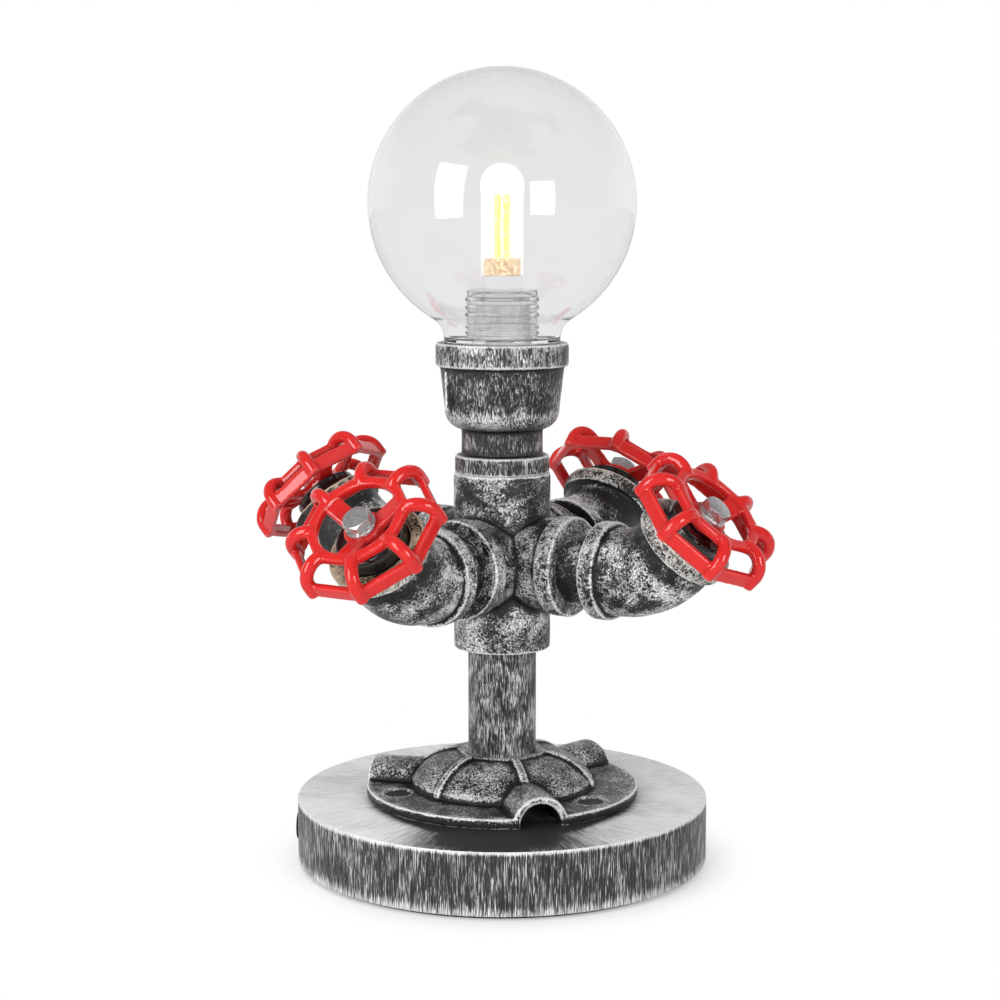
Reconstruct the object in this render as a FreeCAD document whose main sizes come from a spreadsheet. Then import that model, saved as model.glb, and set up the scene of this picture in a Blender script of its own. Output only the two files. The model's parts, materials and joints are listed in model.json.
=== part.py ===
import FreeCAD, Part
import math
import os
from types import SimpleNamespace

import Sketcher

# Table lamp made of 3/4 inch pipe fittings on a round wooden base.
# Millimetres and degrees. +Z is up, the lamp's axis is the Z axis, and z = 0 is
# the underside of the felt pad. Each arm points along azimuths a quarter turn apart.

DRIVING_SIZES = {
    # round base
    "pad_radius": 78.0,
    "pad_thickness": 1.5,
    "base_radius": 81.5,
    "base_thickness": 24.7,
    "base_edge": 0.7,
    "wiring_hole_radius": 7.0,
    "chamber_radius": 36.0,
    "chamber_depth": 14.0,
    "cover_radius": 42.0,
    "cover_thickness": 1.2,
    "cover_fit": 0.3,
    "cover_screw_circle": 39.0,
    "cover_screw_radius": 1.5,
    "cover_screw_head_radius": 2.4,
    "cover_screw_length": 9.0,
    # cable inlet in the side of the base
    "inlet_azimuth": 178.0,
    "inlet_height": 11.5,
    "inlet_bore_radius": 2.9,
    "grommet_radius": 4.2,
    "grommet_lip_radius": 5.2,
    "grommet_lip": 0.9,
    "grommet_length": 14.0,
    # terminal block in the chamber
    "terminal_length": 17.0,
    "terminal_width": 10.0,
    "terminal_height": 10.5,
    "terminal_pitch": 8.0,
    "terminal_screw_radius": 1.6,
    "terminal_screw_sink": 0.8,
    # floor flange
    "flange_radius": 54.0,
    "flange_plate": 4.0,
    "flange_height": 17.6,
    "flange_wall": 4.0,
    "dome_radius": 36.0,
    "dome_step": 2.5,
    "dome_curve": 24.0,
    "collar_radius": 19.0,
    "collar_rise": 0.9,
    "rib_width": 3.0,
    "rib_proud": 1.3,
    "lug_azimuth": -74.0,
    "lug_outer_radius": 10.9,
    "lug_inner_radius": 8.2,
    "lug_lift": 1.0,
    "lug_overhang": -0.8,
    "flange_screw_circle": 44.0,
    "flange_screw_offset": 35.0,
    "screw_radius": 2.2,
    "screw_hole_radius": 2.6,
    "screw_head_radius": 5.0,
    "screw_head_depth": 2.6,
    "screw_sink_radius": 5.7,
    "screw_sink": 0.7,
    "screw_length": 19.0,
    # 3/4 inch pipe
    "pipe_radius": 13.45,
    "pipe_wall": 2.65,
    "pipe_exposed": 42.0,
    "thread_depth": 12.5,
    "socket_depth": 13.5,
    "thread_fit": 0.15,
    # six-way cross
    "cross_reach": 34.7,
    "cross_body_radius": 18.9,
    "outlet_reach": 33.4,
    "outlet_radius": 18.0,
    "outlet_band_radius": 19.4,
    "outlet_band_width": 7.0,
    "waterway_radius": 11.0,
    # bell reducer
    "reducer_bead_radius": 18.4,
    "reducer_bead_height": 7.1,
    "reducer_neck_radius": 15.8,
    "reducer_neck_top": 17.4,
    "reducer_shoulder_radius": 22.3,
    "reducer_shoulder_height": 25.0,
    "reducer_shoulder_curve": 7.4,
    "reducer_body_radius": 24.2,
    "reducer_band_radius": 25.9,
    "reducer_band_height": 8.9,
    "reducer_height": 50.8,
    "cup_radius": 21.0,
    "cup_depth": 17.0,
    "seam_width": 1.6,
    "seam_proud": 0.5,
    "seam_azimuth": 207.0,
    # lamp holder
    "plate_thickness": 1.5,
    "plate_fit": 0.25,
    "stem_radius": 5.0,
    "stem_bore_radius": 3.4,
    "stem_length": 16.0,
    "stem_nut_flats": 14.0,
    "stem_nut_height": 4.0,
    "stem_fit": 0.1,
    "sleeve_radius": 11.4,
    "sleeve_thread": 0.5,
    "sleeve_pitch": 2.2,
    "sleeve_wall": 1.8,
    "sleeve_height": 30.0,
    "core_fit": 0.15,
    "core_recess": 2.2,
    "core_floor": 6.0,
    "pin_slot_length": 3.4,
    "pin_slot_width": 2.2,
    "contact_thickness": 0.5,
    "contact_height": 8.0,
    "lead_radius": 2.4,
    # glass globe
    "globe_radius": 52.0,
    "globe_wall": 1.6,
    "globe_centre": 53.6,
    "globe_gap": 0.2,
    "globe_waist_radius": 28.0,
    "globe_foot_radius": 22.7,
    "globe_foot_height": 1.4,
    "globe_neck_wall": 1.5,
    "globe_neck_height": 20.2,
    "globe_thread_fit": 0.35,
    # G9 bulb
    "bulb_radius": 8.3,
    "bulb_wall": 0.8,
    "bulb_length": 43.0,
    "bulb_foot_height": 13.5,
    "bulb_foot_radius": 7.9,
    "bulb_pin_radius": 0.45,
    "bulb_pin_spacing": 9.0,
    "bulb_pin_length": 6.5,
    "bulb_pin_loop": 1.0,
    "bulb_gap": 0.2,
    "driver_height": 6.4,
    "driver_radius": 7.2,
    "driver_bore_radius": 4.4,
    "filament_circle": 2.3,
    "filament_width": 1.9,
    "filament_thickness": 0.8,
    "filament_height": 24.5,
    # arms
    "arm_azimuth": -33.2,
    "nipple_exposed": 12.1,
    "elbow_bend": 45.0,
    "elbow_inlet_leg": 22.0,
    "elbow_outlet_leg": 23.0,
    "elbow_curve": 30.0,
    "elbow_radius": 16.9,
    "elbow_band_radius": 18.9,
    "elbow_band_width": 6.3,
    # plug, bolt and handwheel on an elbow's mouth
    "plug_radius": 13.2,
    "plug_proud": 6.7,
    "plug_depth": 8.0,
    "plug_edge": 1.4,
    "bolt_radius": 3.0,
    "bolt_fit": 0.08,
    "bolt_flats": 10.0,
    "bolt_head_height": 4.0,
    "bolt_crown": 0.95,
    "nut_height": 5.0,
    "washer_radius": 6.0,
    "washer_thickness": 1.4,
    "face_gap": 0.3,
    "hub_radius": 7.2,
    "hub_height": 4.4,
    "ring_rise": 9.6,
    "ring_inner_radius": 15.8,
    "ring_outer_radius": 20.6,
    "ring_thickness": 3.0,
    "spoke_width": 7.0,
    "spoke_thickness": 2.6,
    "spoke_slope": 24.0,
    "rim_radius": 29.5,
    "rim_thickness": 2.3,
    "rim_height": 5.4,
    "rim_drop": 6.6,
    "knuckle_radius": 2.3,
    "knuckle_arch": 7.0,
    "knuckle_centre": 21.4,
    "knuckle_drop": 7.6,
    "knuckle_sweep": 125.0,
    "wheel_turn_front_right": 90.0,
    "wheel_turn_back_right": 22.5,
    "wheel_turn_back_left": 37.0,
    "wheel_turn_front_left": -112.5,
}

ARM_NAMES = ("front_right", "back_right", "back_left", "front_left")
QUARTER_TURN = 90
RIB_COUNT = 6
LUG_COUNT = 3
# One turn of the sleeve's thread: share of the pitch along it, share of the depth out.
THREAD_PROFILE = ((0.5, 0), (0.85, 1), (1.1, 1), (1.45, 0))
COVER_SCREW_COUNT = 3
KNUCKLE_COUNT = 8
SPOKE_COUNT = 3
FILAMENT_COUNT = 4
FULL_TURN = 360

doc = FreeCAD.newDocument("pipe_table_lamp")


# ---------------------------------------------------------------- sizes and places


class Size:
    """A length or an angle, with the sheet formula that gives it."""

    def __init__(self, number, formula=None):
        self.number = float(number)
        self.formula = formula or repr(float(number))

    @staticmethod
    def of(item):
        return item if isinstance(item, Size) else Size(item)

    def __add__(self, other):
        other = Size.of(other)
        return Size(self.number + other.number, f"({self.formula} + {other.formula})")

    def __sub__(self, other):
        other = Size.of(other)
        return Size(self.number - other.number, f"({self.formula} - {other.formula})")

    def __mul__(self, other):
        other = Size.of(other)
        return Size(self.number * other.number, f"{self.formula} * {other.formula}")

    def __truediv__(self, other):
        other = Size.of(other)
        return Size(self.number / other.number, f"{self.formula} / ({other.formula})")

    def __neg__(self):
        return Size(-self.number, f"(0 - {self.formula})")

    __radd__ = __add__
    __rmul__ = __mul__

    def __rsub__(self, other):
        return Size.of(other) - self


def sine(angle):
    angle = Size.of(angle)
    return Size(math.sin(math.radians(angle.number)), f"sin({angle.formula})")


def cosine(angle):
    angle = Size.of(angle)
    return Size(math.cos(math.radians(angle.number)), f"cos({angle.formula})")


def tangent(angle):
    angle = Size.of(angle)
    return Size(math.tan(math.radians(angle.number)), f"tan({angle.formula})")


def leg(hypotenuse, other_leg):
    """The remaining leg of a right triangle."""
    square = hypotenuse * hypotenuse - other_leg * other_leg
    return Size(math.sqrt(square.number), f"sqrt({square.formula})")


class Place:
    """A chain of moves and turns that puts a piece in the lamp."""

    def __init__(self, steps=()):
        self.steps = tuple(steps)

    def moved(self, x=0, y=0, z=0):
        move = "; ".join(Size.of(item).formula for item in (x, y, z))
        step = f"placement(vector({move}); rotation(vector(0; 0; 1); 0))"
        return Place(self.steps + (step,))

    def turned(self, axis, angle):
        vector = {"x": "1; 0; 0", "y": "0; 1; 0", "z": "0; 0; 1"}[axis]
        turn = f"rotation(vector({vector}); {Size.of(angle).formula})"
        return Place(self.steps + (f"placement(vector(0; 0; 0); {turn})",))

    def then(self, other):
        return Place(self.steps + other.steps)

    @property
    def formula(self):
        return " * ".join(self.steps)


def write_sheet():
    """Fills the spreadsheet, and gives each driving size under its own name."""
    sheet = doc.addObject("Spreadsheet::Sheet", "Sizes")
    for row, (name, number) in enumerate(DRIVING_SIZES.items(), start=1):
        sheet.set(f"A{row}", name)
        sheet.set(f"B{row}", str(number))
        sheet.setAlias(f"B{row}", name)
    doc.recompute()
    return SimpleNamespace(
        **{name: Size(number, f"Sizes.{name}") for name, number in DRIVING_SIZES.items()}
    )


# ---------------------------------------------------------------- modelling helpers


def bind(item, place=None, **sizes):
    for name, size in sizes.items():
        item.setExpression(name, Size.of(size).formula)
    if place is not None and place.steps:
        item.setExpression("Placement", place.formula)
    return item


def primitive(kind, place=None, **sizes):
    return bind(doc.addObject(f"Part::{kind}", kind), place, **sizes)


def bar(radius, length, place=None):
    """A round bar that starts at the place and runs along its z."""
    return primitive("Cylinder", place, Radius=radius, Height=length)


def joined(label, items, place=None):
    union = doc.addObject("Part::MultiFuse", label)
    union.Shapes = items
    union.Refine = True
    return bind(union, place)


def without(label, base, tools, place=None):
    """The base with each of the tools cut away."""
    tool = tools[0] if len(tools) == 1 else joined(label + "_tools", tools)
    rest = doc.addObject("Part::Cut", label)
    rest.Base = base
    rest.Tool = tool
    rest.Refine = True
    return bind(rest, place)


def grouped(label, items):
    """Identical separate solids that share one node."""
    group = doc.addObject("Part::Compound", label)
    group.Links = items
    return group


def origin_plane(body, role):
    return next(item for item in body.Origin.OriginFeatures if item.Role == role)


def arc_centre(start, end, radius):
    """Centre of the arc; a positive radius keeps it left of the way from start to end."""
    along = end - start
    half = along.Length / 2
    rise = math.sqrt(max(radius * radius - half * half, 0.0))
    side = FreeCAD.Vector(-along.y, along.x, 0).normalize()
    return start + along / 2 + side * math.copysign(rise, radius)


def draw_outline(sketch, outline):
    """A closed outline. A corner is (x, y), or (x, y, radius) if an arc leads to it."""
    corners = [[Size.of(item) for item in corner] for corner in outline]
    spots = [FreeCAD.Vector(corner[0].number, corner[1].number, 0) for corner in corners]
    ends = []
    for index, corner in enumerate(corners):
        start, end = spots[index - 1], spots[index]
        if len(corner) == 2:
            edge = sketch.addGeometry(Part.LineSegment(start, end), False)
            ends.append((edge, 1, 2))
            continue
        radius = corner[2]
        centre = arc_centre(start, end, radius.number)
        circle = Part.Circle(centre, FreeCAD.Vector(0, 0, 1), abs(radius.number))
        forward = radius.number > 0
        first, last = (start, end) if forward else (end, start)
        angles = [math.atan2(spot.y - centre.y, spot.x - centre.x) for spot in (first, last)]
        edge = sketch.addGeometry(Part.ArcOfCircle(circle, *angles), False)
        ends.append((edge, 1, 2) if forward else (edge, 2, 1))
    for index, corner in enumerate(corners):
        edge, _, last = ends[index]
        after, first, _ = ends[(index + 1) % len(corners)]
        sketch.addConstraint(Sketcher.Constraint("Coincident", edge, last, after, first))
        for kind, axis, size in (("DistanceX", -2, corner[0]), ("DistanceY", -1, corner[1])):
            if size.formula == "0.0":
                rule = Sketcher.Constraint("PointOnObject", edge, last, axis)
                sketch.addConstraint(rule)
                continue
            rule = Sketcher.Constraint(kind, -1, 1, edge, last, size.number)
            number = sketch.addConstraint(rule)
            sketch.setExpression(f"Constraints[{number}]", size.formula)
        if len(corner) == 3:
            size = corner[2] if corner[2].number > 0 else -corner[2]
            number = sketch.addConstraint(Sketcher.Constraint("Radius", edge, size.number))
            sketch.setExpression(f"Constraints[{number}]", size.formula)


def sketch_on(body, role, outlines):
    sketch = body.newObject("Sketcher::SketchObject", "Sketch")
    sketch.AttachmentSupport = [(origin_plane(body, role), "")]
    sketch.MapMode = "FlatFace"
    for outline in outlines:
        draw_outline(sketch, outline)
    return sketch


def turned(label, outline, place=None):
    """A body turned about its z axis. The outline's corners are (radius, height)."""
    body = doc.addObject("PartDesign::Body", label)
    sketch = sketch_on(body, "XZ_Plane", [outline])
    turn = body.newObject("PartDesign::Revolution", "Turn")
    turn.Profile = sketch
    turn.ReferenceAxis = (sketch, ["V_Axis"])
    turn.Angle = FULL_TURN
    body.Tip = turn
    return bind(body, place)


def tube_outline(inner, outer, low, high):
    return [(inner, low), (outer, low), (outer, high), (inner, high)]


def padded(label, outlines, height, place=None):
    """A body padded up from its XY plane."""
    body = doc.addObject("PartDesign::Body", label)
    pad = body.newObject("PartDesign::Pad", "Pad")
    pad.Profile = sketch_on(body, "XY_Plane", outlines)
    bind(pad, Length=height)
    body.Tip = pad
    return bind(body, place)


def hexagon(flats):
    """A hexagon's corners from the distance across its flats."""
    corner = flats / cosine(30) / 2
    angles = [30 + 60 * turn for turn in range(6)]
    return [(corner * cosine(angle), corner * sine(angle)) for angle in angles]


def rectangle(length, width):
    return [
        (length / -2, width / -2),
        (length / 2, width / -2),
        (length / 2, width / 2),
        (length / -2, width / 2),
    ]


def around(count, first=0):
    """Places evenly spaced about the z axis."""
    return [Place().turned("z", first + turn * FULL_TURN / count) for turn in range(count)]


size = write_sheet()

# ---------------------------------------------------------------- levels on the axis

BASE_BOTTOM = size.pad_thickness
BASE_TOP = BASE_BOTTOM + size.base_thickness
CHAMBER_TOP = BASE_BOTTOM + size.chamber_depth
COVER_TOP = BASE_BOTTOM + size.cover_thickness + size.cover_fit
FLANGE_TOP = BASE_TOP + size.flange_height
CROSS_BOTTOM = FLANGE_TOP + size.pipe_exposed
CROSS_CENTRE = CROSS_BOTTOM + size.cross_reach
CROSS_TOP = CROSS_CENTRE + size.cross_reach
REDUCER_TOP = CROSS_TOP + size.reducer_height
CUP_FLOOR = REDUCER_TOP - size.cup_depth
PLATE_TOP = CUP_FLOOR + size.plate_thickness
HOLDER_TOP = PLATE_TOP + size.sleeve_height
CORE_TOP = HOLDER_TOP - size.core_recess
GLOBE_SEAT = REDUCER_TOP + size.globe_gap

PIPE_BORE = size.pipe_radius - size.pipe_wall
SOCKET_RADIUS = size.pipe_radius + size.thread_fit
CORE_RADIUS = size.sleeve_radius - size.sleeve_wall - size.core_fit

# ---------------------------------------------------------------- places

INLET = (
    Place()
    .turned("z", size.inlet_azimuth)
    .moved(x=size.base_radius, z=size.inlet_height)
    .turned("y", QUARTER_TURN)
)

# An elbow's own frame has its origin in its inlet face and x along its inlet.
ELBOW_SEAT = Place().moved(x=size.outlet_reach + size.nipple_exposed)
ELBOW_CORNER = Place().moved(x=size.elbow_inlet_leg).turned("y", QUARTER_TURN - size.elbow_bend)
ELBOW_MOUTH = ELBOW_CORNER.moved(z=size.elbow_outlet_leg)

# Levels above the mouth face of an elbow, along the axis of its handwheel.
HUB_BOTTOM = size.plug_proud + size.face_gap
HUB_TOP = HUB_BOTTOM + size.hub_height
WASHER_BOTTOM = HUB_TOP + size.face_gap
HEAD_BOTTOM = WASHER_BOTTOM + size.washer_thickness


def mouth_of(arm):
    """The mouth face of the elbow on an arm, with z outward along the handwheel's axis."""
    return arm.then(ELBOW_SEAT).then(ELBOW_MOUTH)


# ---------------------------------------------------------------- base


def make_base():
    """Felt pad, wooden disc with its wiring chamber, cover plate and its screws."""
    turned("felt_pad", tube_outline(0, size.pad_radius, 0, size.pad_thickness))

    edge = size.base_edge
    rebate_radius = size.cover_radius + size.cover_fit
    blank = turned(
        "base_blank",
        [
            (rebate_radius, BASE_BOTTOM),
            (size.base_radius - edge, BASE_BOTTOM),
            (size.base_radius, BASE_BOTTOM + edge),
            (size.base_radius, BASE_TOP - edge),
            (size.base_radius - edge, BASE_TOP),
            (size.wiring_hole_radius, BASE_TOP),
            (size.wiring_hole_radius, CHAMBER_TOP),
            (size.chamber_radius, CHAMBER_TOP),
            (size.chamber_radius, COVER_TOP),
            (rebate_radius, COVER_TOP),
        ],
    )
    inlet = INLET.turned("y", 180)
    inlet_hole = bar(size.grommet_radius + size.core_fit, size.base_radius, inlet)
    pilots = [
        bar(size.screw_radius, size.screw_length, screw.moved(z=-size.screw_length - size.screw_sink))
        for screw in flange_screw_places(BASE_TOP)
    ]
    cover_pilots = [
        bar(size.cover_screw_radius, size.cover_screw_length, screw)
        for screw in cover_screw_places()
    ]
    without("base_disc", blank, [inlet_hole] + pilots + cover_pilots)

    cover_bottom = COVER_TOP - size.cover_thickness
    cover = turned("cover_blank", tube_outline(0, size.cover_radius, cover_bottom, COVER_TOP))
    holes = [
        primitive(
            "Cone",
            screw,
            Radius1=size.cover_screw_head_radius + size.core_fit,
            Radius2=size.cover_screw_radius + size.core_fit,
            Height=size.cover_thickness,
        )
        for screw in cover_screw_places()
    ]
    without("bottom_cover", cover, holes)

    screws = [
        joined(
            "cover_screw",
            [
                primitive(
                    "Cone",
                    screw,
                    Radius1=size.cover_screw_head_radius,
                    Radius2=size.cover_screw_radius,
                    Height=size.cover_thickness,
                ),
                bar(size.cover_screw_radius - size.bolt_fit, size.cover_screw_length, screw),
            ],
        )
        for screw in cover_screw_places()
    ]
    grouped("cover_screws", screws)


def cover_screw_places():
    low = COVER_TOP - size.cover_thickness
    return [
        turn.moved(x=size.cover_screw_circle, z=low)
        for turn in around(COVER_SCREW_COUNT, first=QUARTER_TURN)
    ]


def make_inlet():
    """Rubber grommet in the side of the base. Its z axis points out of the base."""
    turned(
        "cable_grommet",
        [
            (size.inlet_bore_radius, -size.grommet_length),
            (size.grommet_radius, -size.grommet_length),
            (size.grommet_radius, 0.0),
            (size.grommet_lip_radius, 0.0),
            (size.grommet_lip_radius, size.grommet_lip),
            (size.inlet_bore_radius, size.grommet_lip),
        ],
        INLET,
    )


def make_wiring():
    """Terminal block on the cover plate, and the lead up the pipe to the lamp holder."""
    block = padded(
        "terminal_blank",
        [rectangle(size.terminal_length, size.terminal_width)],
        size.terminal_height,
        Place().moved(z=COVER_TOP),
    )
    top = COVER_TOP + size.terminal_height
    sink = size.terminal_screw_sink
    spots = [
        Place().moved(x=size.terminal_pitch / 2 * side, z=top - sink) for side in (-1, 1)
    ]
    wells = [bar(size.terminal_screw_radius + size.core_fit, sink * 2, spot) for spot in spots]
    without("terminal_block", block, wells)
    screws = [bar(size.terminal_screw_radius, sink, spot) for spot in spots]
    grouped("terminal_screws", screws)
    stem_bottom = PLATE_TOP - size.stem_length / 2
    lead_length = stem_bottom + size.stem_length - top
    bar(size.lead_radius, lead_length, Place().moved(z=top)).Label = "internal_lead"


# ---------------------------------------------------------------- floor flange


def flange_screw_places(flange_bottom):
    """Seats of the flange screws, at the top face of the plate."""
    first = size.lug_azimuth + size.flange_screw_offset
    return [
        turn.moved(x=size.flange_screw_circle, z=flange_bottom + size.flange_plate)
        for turn in around(LUG_COUNT, first)
    ]


def make_flange():
    """Cast floor flange: plate, ribbed dome, half-round lugs, collar and pipe socket."""
    wall = size.flange_wall
    dome_top = size.flange_height - size.collar_rise
    dome = turned(
        "flange_dome",
        [
            (SOCKET_RADIUS, 0),
            (size.flange_radius, 0),
            (size.flange_radius, size.flange_plate),
            (size.dome_radius, size.flange_plate),
            (size.dome_radius, size.flange_plate + size.dome_step),
            (size.collar_radius, dome_top, size.dome_curve),
            (SOCKET_RADIUS, dome_top),
        ],
    )
    collar = primitive(
        "Prism",
        Place().turned("z", size.lug_azimuth),
        Circumradius=size.collar_radius,
        Height=size.flange_height,
    )
    collar.Polygon = RIB_COUNT
    ribs = []
    for turn in around(RIB_COUNT, size.lug_azimuth):
        rib = turned(
            "flange_rib",
            [
                (SOCKET_RADIUS, 0),
                (size.dome_radius + size.rib_proud, 0),
                (size.dome_radius + size.rib_proud, size.flange_plate + size.dome_step),
                (size.collar_radius, dome_top + size.rib_proud, size.dome_curve + size.rib_proud),
                (SOCKET_RADIUS, dome_top + size.rib_proud),
            ],
        )
        slice_place = turn.moved(y=size.rib_width / -2)
        slab = primitive(
            "Box",
            slice_place,
            Length=size.flange_radius,
            Width=size.rib_width,
            Height=size.flange_height + size.rib_proud,
        )
        common = doc.addObject("Part::MultiCommon", "flange_rib_slice")
        common.Shapes = [rib, slab]
        ribs.append(common)
    lug_length = size.flange_radius + size.lug_overhang
    lugs = [
        bar(size.lug_outer_radius, lug_length, turn.moved(z=size.lug_lift).turned("y", QUARTER_TURN))
        for turn in around(LUG_COUNT, size.lug_azimuth)
    ]
    body = joined("flange_body", [dome, collar] + ribs + lugs)

    below = bar(size.base_radius, size.flange_radius, Place().moved(z=-size.flange_radius))
    socket = bar(SOCKET_RADIUS, size.flange_height * 2)
    tunnels = [
        bar(
            size.lug_inner_radius,
            lug_length,
            turn.moved(x=size.collar_radius, z=size.lug_lift).turned("y", QUARTER_TURN),
        )
        for turn in around(LUG_COUNT, size.lug_azimuth)
    ]
    boss_radius = SOCKET_RADIUS + wall
    hollow_height = size.flange_plate + size.dome_step
    hollow = turned(
        "flange_hollow",
        [
            (boss_radius, 0),
            (size.dome_radius - wall, 0),
            (size.dome_radius - wall, hollow_height),
            (boss_radius, hollow_height),
        ],
    )
    holes = []
    reach = size.flange_plate * 2
    for spot in flange_screw_places(Size.of(0)):
        holes.append(bar(size.screw_hole_radius, reach * 2, spot.moved(z=-reach)))
        depth = size.screw_head_depth + size.screw_sink
        holes.append(
            primitive(
                "Cone",
                spot.moved(z=-depth),
                Radius1=size.screw_hole_radius,
                Radius2=size.screw_sink_radius,
                Height=depth,
            )
        )
    without("floor_flange", body, [below, socket, hollow] + tunnels + holes, Place().moved(z=BASE_TOP))

    screws = []
    for seat in flange_screw_places(BASE_TOP):
        head_top = seat.moved(z=-size.screw_sink)
        screws.append(
            turned(
                "flange_screw",
                [
                    (0, -size.screw_length),
                    (size.screw_radius - size.bolt_fit, size.screw_radius * 1.5 - size.screw_length),
                    (size.screw_radius - size.bolt_fit, -size.screw_head_depth),
                    (size.screw_head_radius, 0.0),
                    (0, 0.0),
                ],
                head_top,
            )
        )
    grouped("flange_screws", screws)


# ---------------------------------------------------------------- pipe, cross, reducer


def make_column():
    """Riser pipe, six-way cross, hidden nipple and bell reducer."""
    turned(
        "riser_pipe",
        tube_outline(
            PIPE_BORE,
            size.pipe_radius,
            FLANGE_TOP - size.thread_depth,
            CROSS_BOTTOM + size.thread_depth,
        ),
    )

    upright = Place().moved(z=-size.cross_reach)
    level = [
        Place()
        .turned("z", size.arm_azimuth + QUARTER_TURN * side)
        .moved(x=-size.outlet_reach)
        .turned("y", QUARTER_TURN)
        for side in (0, 1)
    ]
    bodies = [bar(size.cross_body_radius, size.cross_reach * 2, upright)]
    far_band = size.outlet_reach * 2 - size.outlet_band_width
    for place in level:
        bodies.append(bar(size.outlet_radius, size.outlet_reach * 2, place))
        bodies.append(bar(size.outlet_band_radius, size.outlet_band_width, place))
        bodies.append(bar(size.outlet_band_radius, size.outlet_band_width, place.moved(z=far_band)))
    bores = []
    for place, reach in [(upright, size.cross_reach)] + [(place, size.outlet_reach) for place in level]:
        bores.append(bar(size.waterway_radius, reach * 2, place))
        bores.append(bar(SOCKET_RADIUS, size.socket_depth, place))
        far_socket = reach * 2 - size.socket_depth
        bores.append(bar(SOCKET_RADIUS, size.socket_depth, place.moved(z=far_socket)))
    blank = joined("cross_blank", bodies)
    without("six_way_cross", blank, bores, Place().moved(z=CROSS_CENTRE))

    turned(
        "column_nipple",
        tube_outline(
            PIPE_BORE, size.pipe_radius, CROSS_TOP - size.thread_depth, CROSS_TOP + size.thread_depth
        ),
    )

    height = size.reducer_height
    band_bottom = height - size.reducer_band_height
    cup_floor = height - size.cup_depth
    reducer = turned(
        "reducer_blank",
        [
            (SOCKET_RADIUS, 0),
            (size.reducer_bead_radius, 0),
            (size.reducer_bead_radius, size.reducer_bead_height),
            (size.reducer_neck_radius, size.reducer_bead_height),
            (size.reducer_neck_radius, size.reducer_neck_top),
            (size.reducer_shoulder_radius, size.reducer_shoulder_height, size.reducer_shoulder_curve),
            (size.reducer_body_radius, band_bottom),
            (size.reducer_band_radius, band_bottom),
            (size.reducer_band_radius, height),
            (size.cup_radius, height),
            (size.cup_radius, cup_floor),
            (size.waterway_radius, cup_floor),
            (size.waterway_radius, size.socket_depth),
            (SOCKET_RADIUS, size.socket_depth),
        ],
    )
    seam_outer = size.reducer_body_radius + size.seam_proud
    seam = primitive(
        "Box",
        Place().turned("z", size.seam_azimuth).moved(
            x=size.cup_radius + size.seam_proud, y=size.seam_width / -2, z=size.reducer_shoulder_height
        ),
        Length=seam_outer - size.cup_radius - size.seam_proud,
        Width=size.seam_width,
        Height=band_bottom - size.reducer_shoulder_height,
    )
    joined("bell_reducer", [reducer, seam], Place().moved(z=CROSS_TOP))


# ---------------------------------------------------------------- lamp holder


def make_holder():
    """Plate in the reducer's cup, hollow stem and nut, threaded sleeve, ceramic core."""
    stem_hole = size.stem_radius + size.stem_fit
    turned(
        "holder_plate",
        tube_outline(stem_hole, size.cup_radius - size.plate_fit, CUP_FLOOR, PLATE_TOP),
    )
    stem_low = PLATE_TOP - size.stem_length / 2
    stem_high = PLATE_TOP + size.stem_length / 2
    turned("holder_stem", tube_outline(size.stem_bore_radius, size.stem_radius, stem_low, stem_high))
    nut = padded(
        "stem_nut_blank",
        [hexagon(size.stem_nut_flats)],
        size.stem_nut_height,
        Place().moved(z=CUP_FLOOR - size.stem_nut_height),
    )
    nut_bore = bar(stem_hole, size.cup_depth, Place().moved(z=CUP_FLOOR - size.cup_depth / 2))
    without("stem_nut", nut, [nut_bore])

    inner = size.sleeve_radius - size.sleeve_wall
    pitch = size.sleeve_pitch
    sleeve = [(inner, PLATE_TOP), (size.sleeve_radius, PLATE_TOP)]
    for turn in range(int(size.sleeve_height.number / pitch.number) - 1):
        for along, out in THREAD_PROFILE:
            level = PLATE_TOP + pitch * (turn + along)
            sleeve.append((size.sleeve_radius + size.sleeve_thread * out, level))
    sleeve += [(size.sleeve_radius, HOLDER_TOP), (inner, HOLDER_TOP)]
    turned("holder_sleeve", sleeve)

    stem_room = stem_high + size.stem_fit
    core = turned(
        "core_blank",
        [
            (stem_hole, PLATE_TOP),
            (CORE_RADIUS, PLATE_TOP),
            (CORE_RADIUS, CORE_TOP),
            (0, CORE_TOP),
            (0, stem_room),
            (stem_hole, stem_room),
        ],
    )
    slots = [
        primitive(
            "Box",
            Place().moved(
                x=size.bulb_pin_spacing / 2 * side - size.pin_slot_length / 2,
                y=size.pin_slot_width / -2,
                z=CORE_TOP - size.core_floor - size.contact_height,
            ),
            Length=size.pin_slot_length,
            Width=size.pin_slot_width,
            Height=size.core_floor + size.contact_height * 2,
        )
        for side in (-1, 1)
    ]
    without("holder_core", core, slots)

    contacts = [
        primitive(
            "Box",
            Place().moved(
                x=size.bulb_pin_spacing / 2 * side - size.pin_slot_length / 2,
                y=size.pin_slot_width / -2,
                z=CORE_TOP - size.core_floor - size.contact_height,
            ),
            Length=size.pin_slot_length,
            Width=size.contact_thickness,
            Height=size.contact_height,
        )
        for side in (-1, 1)
    ]
    grouped("holder_contacts", contacts)


# ---------------------------------------------------------------- globe and bulb


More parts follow.
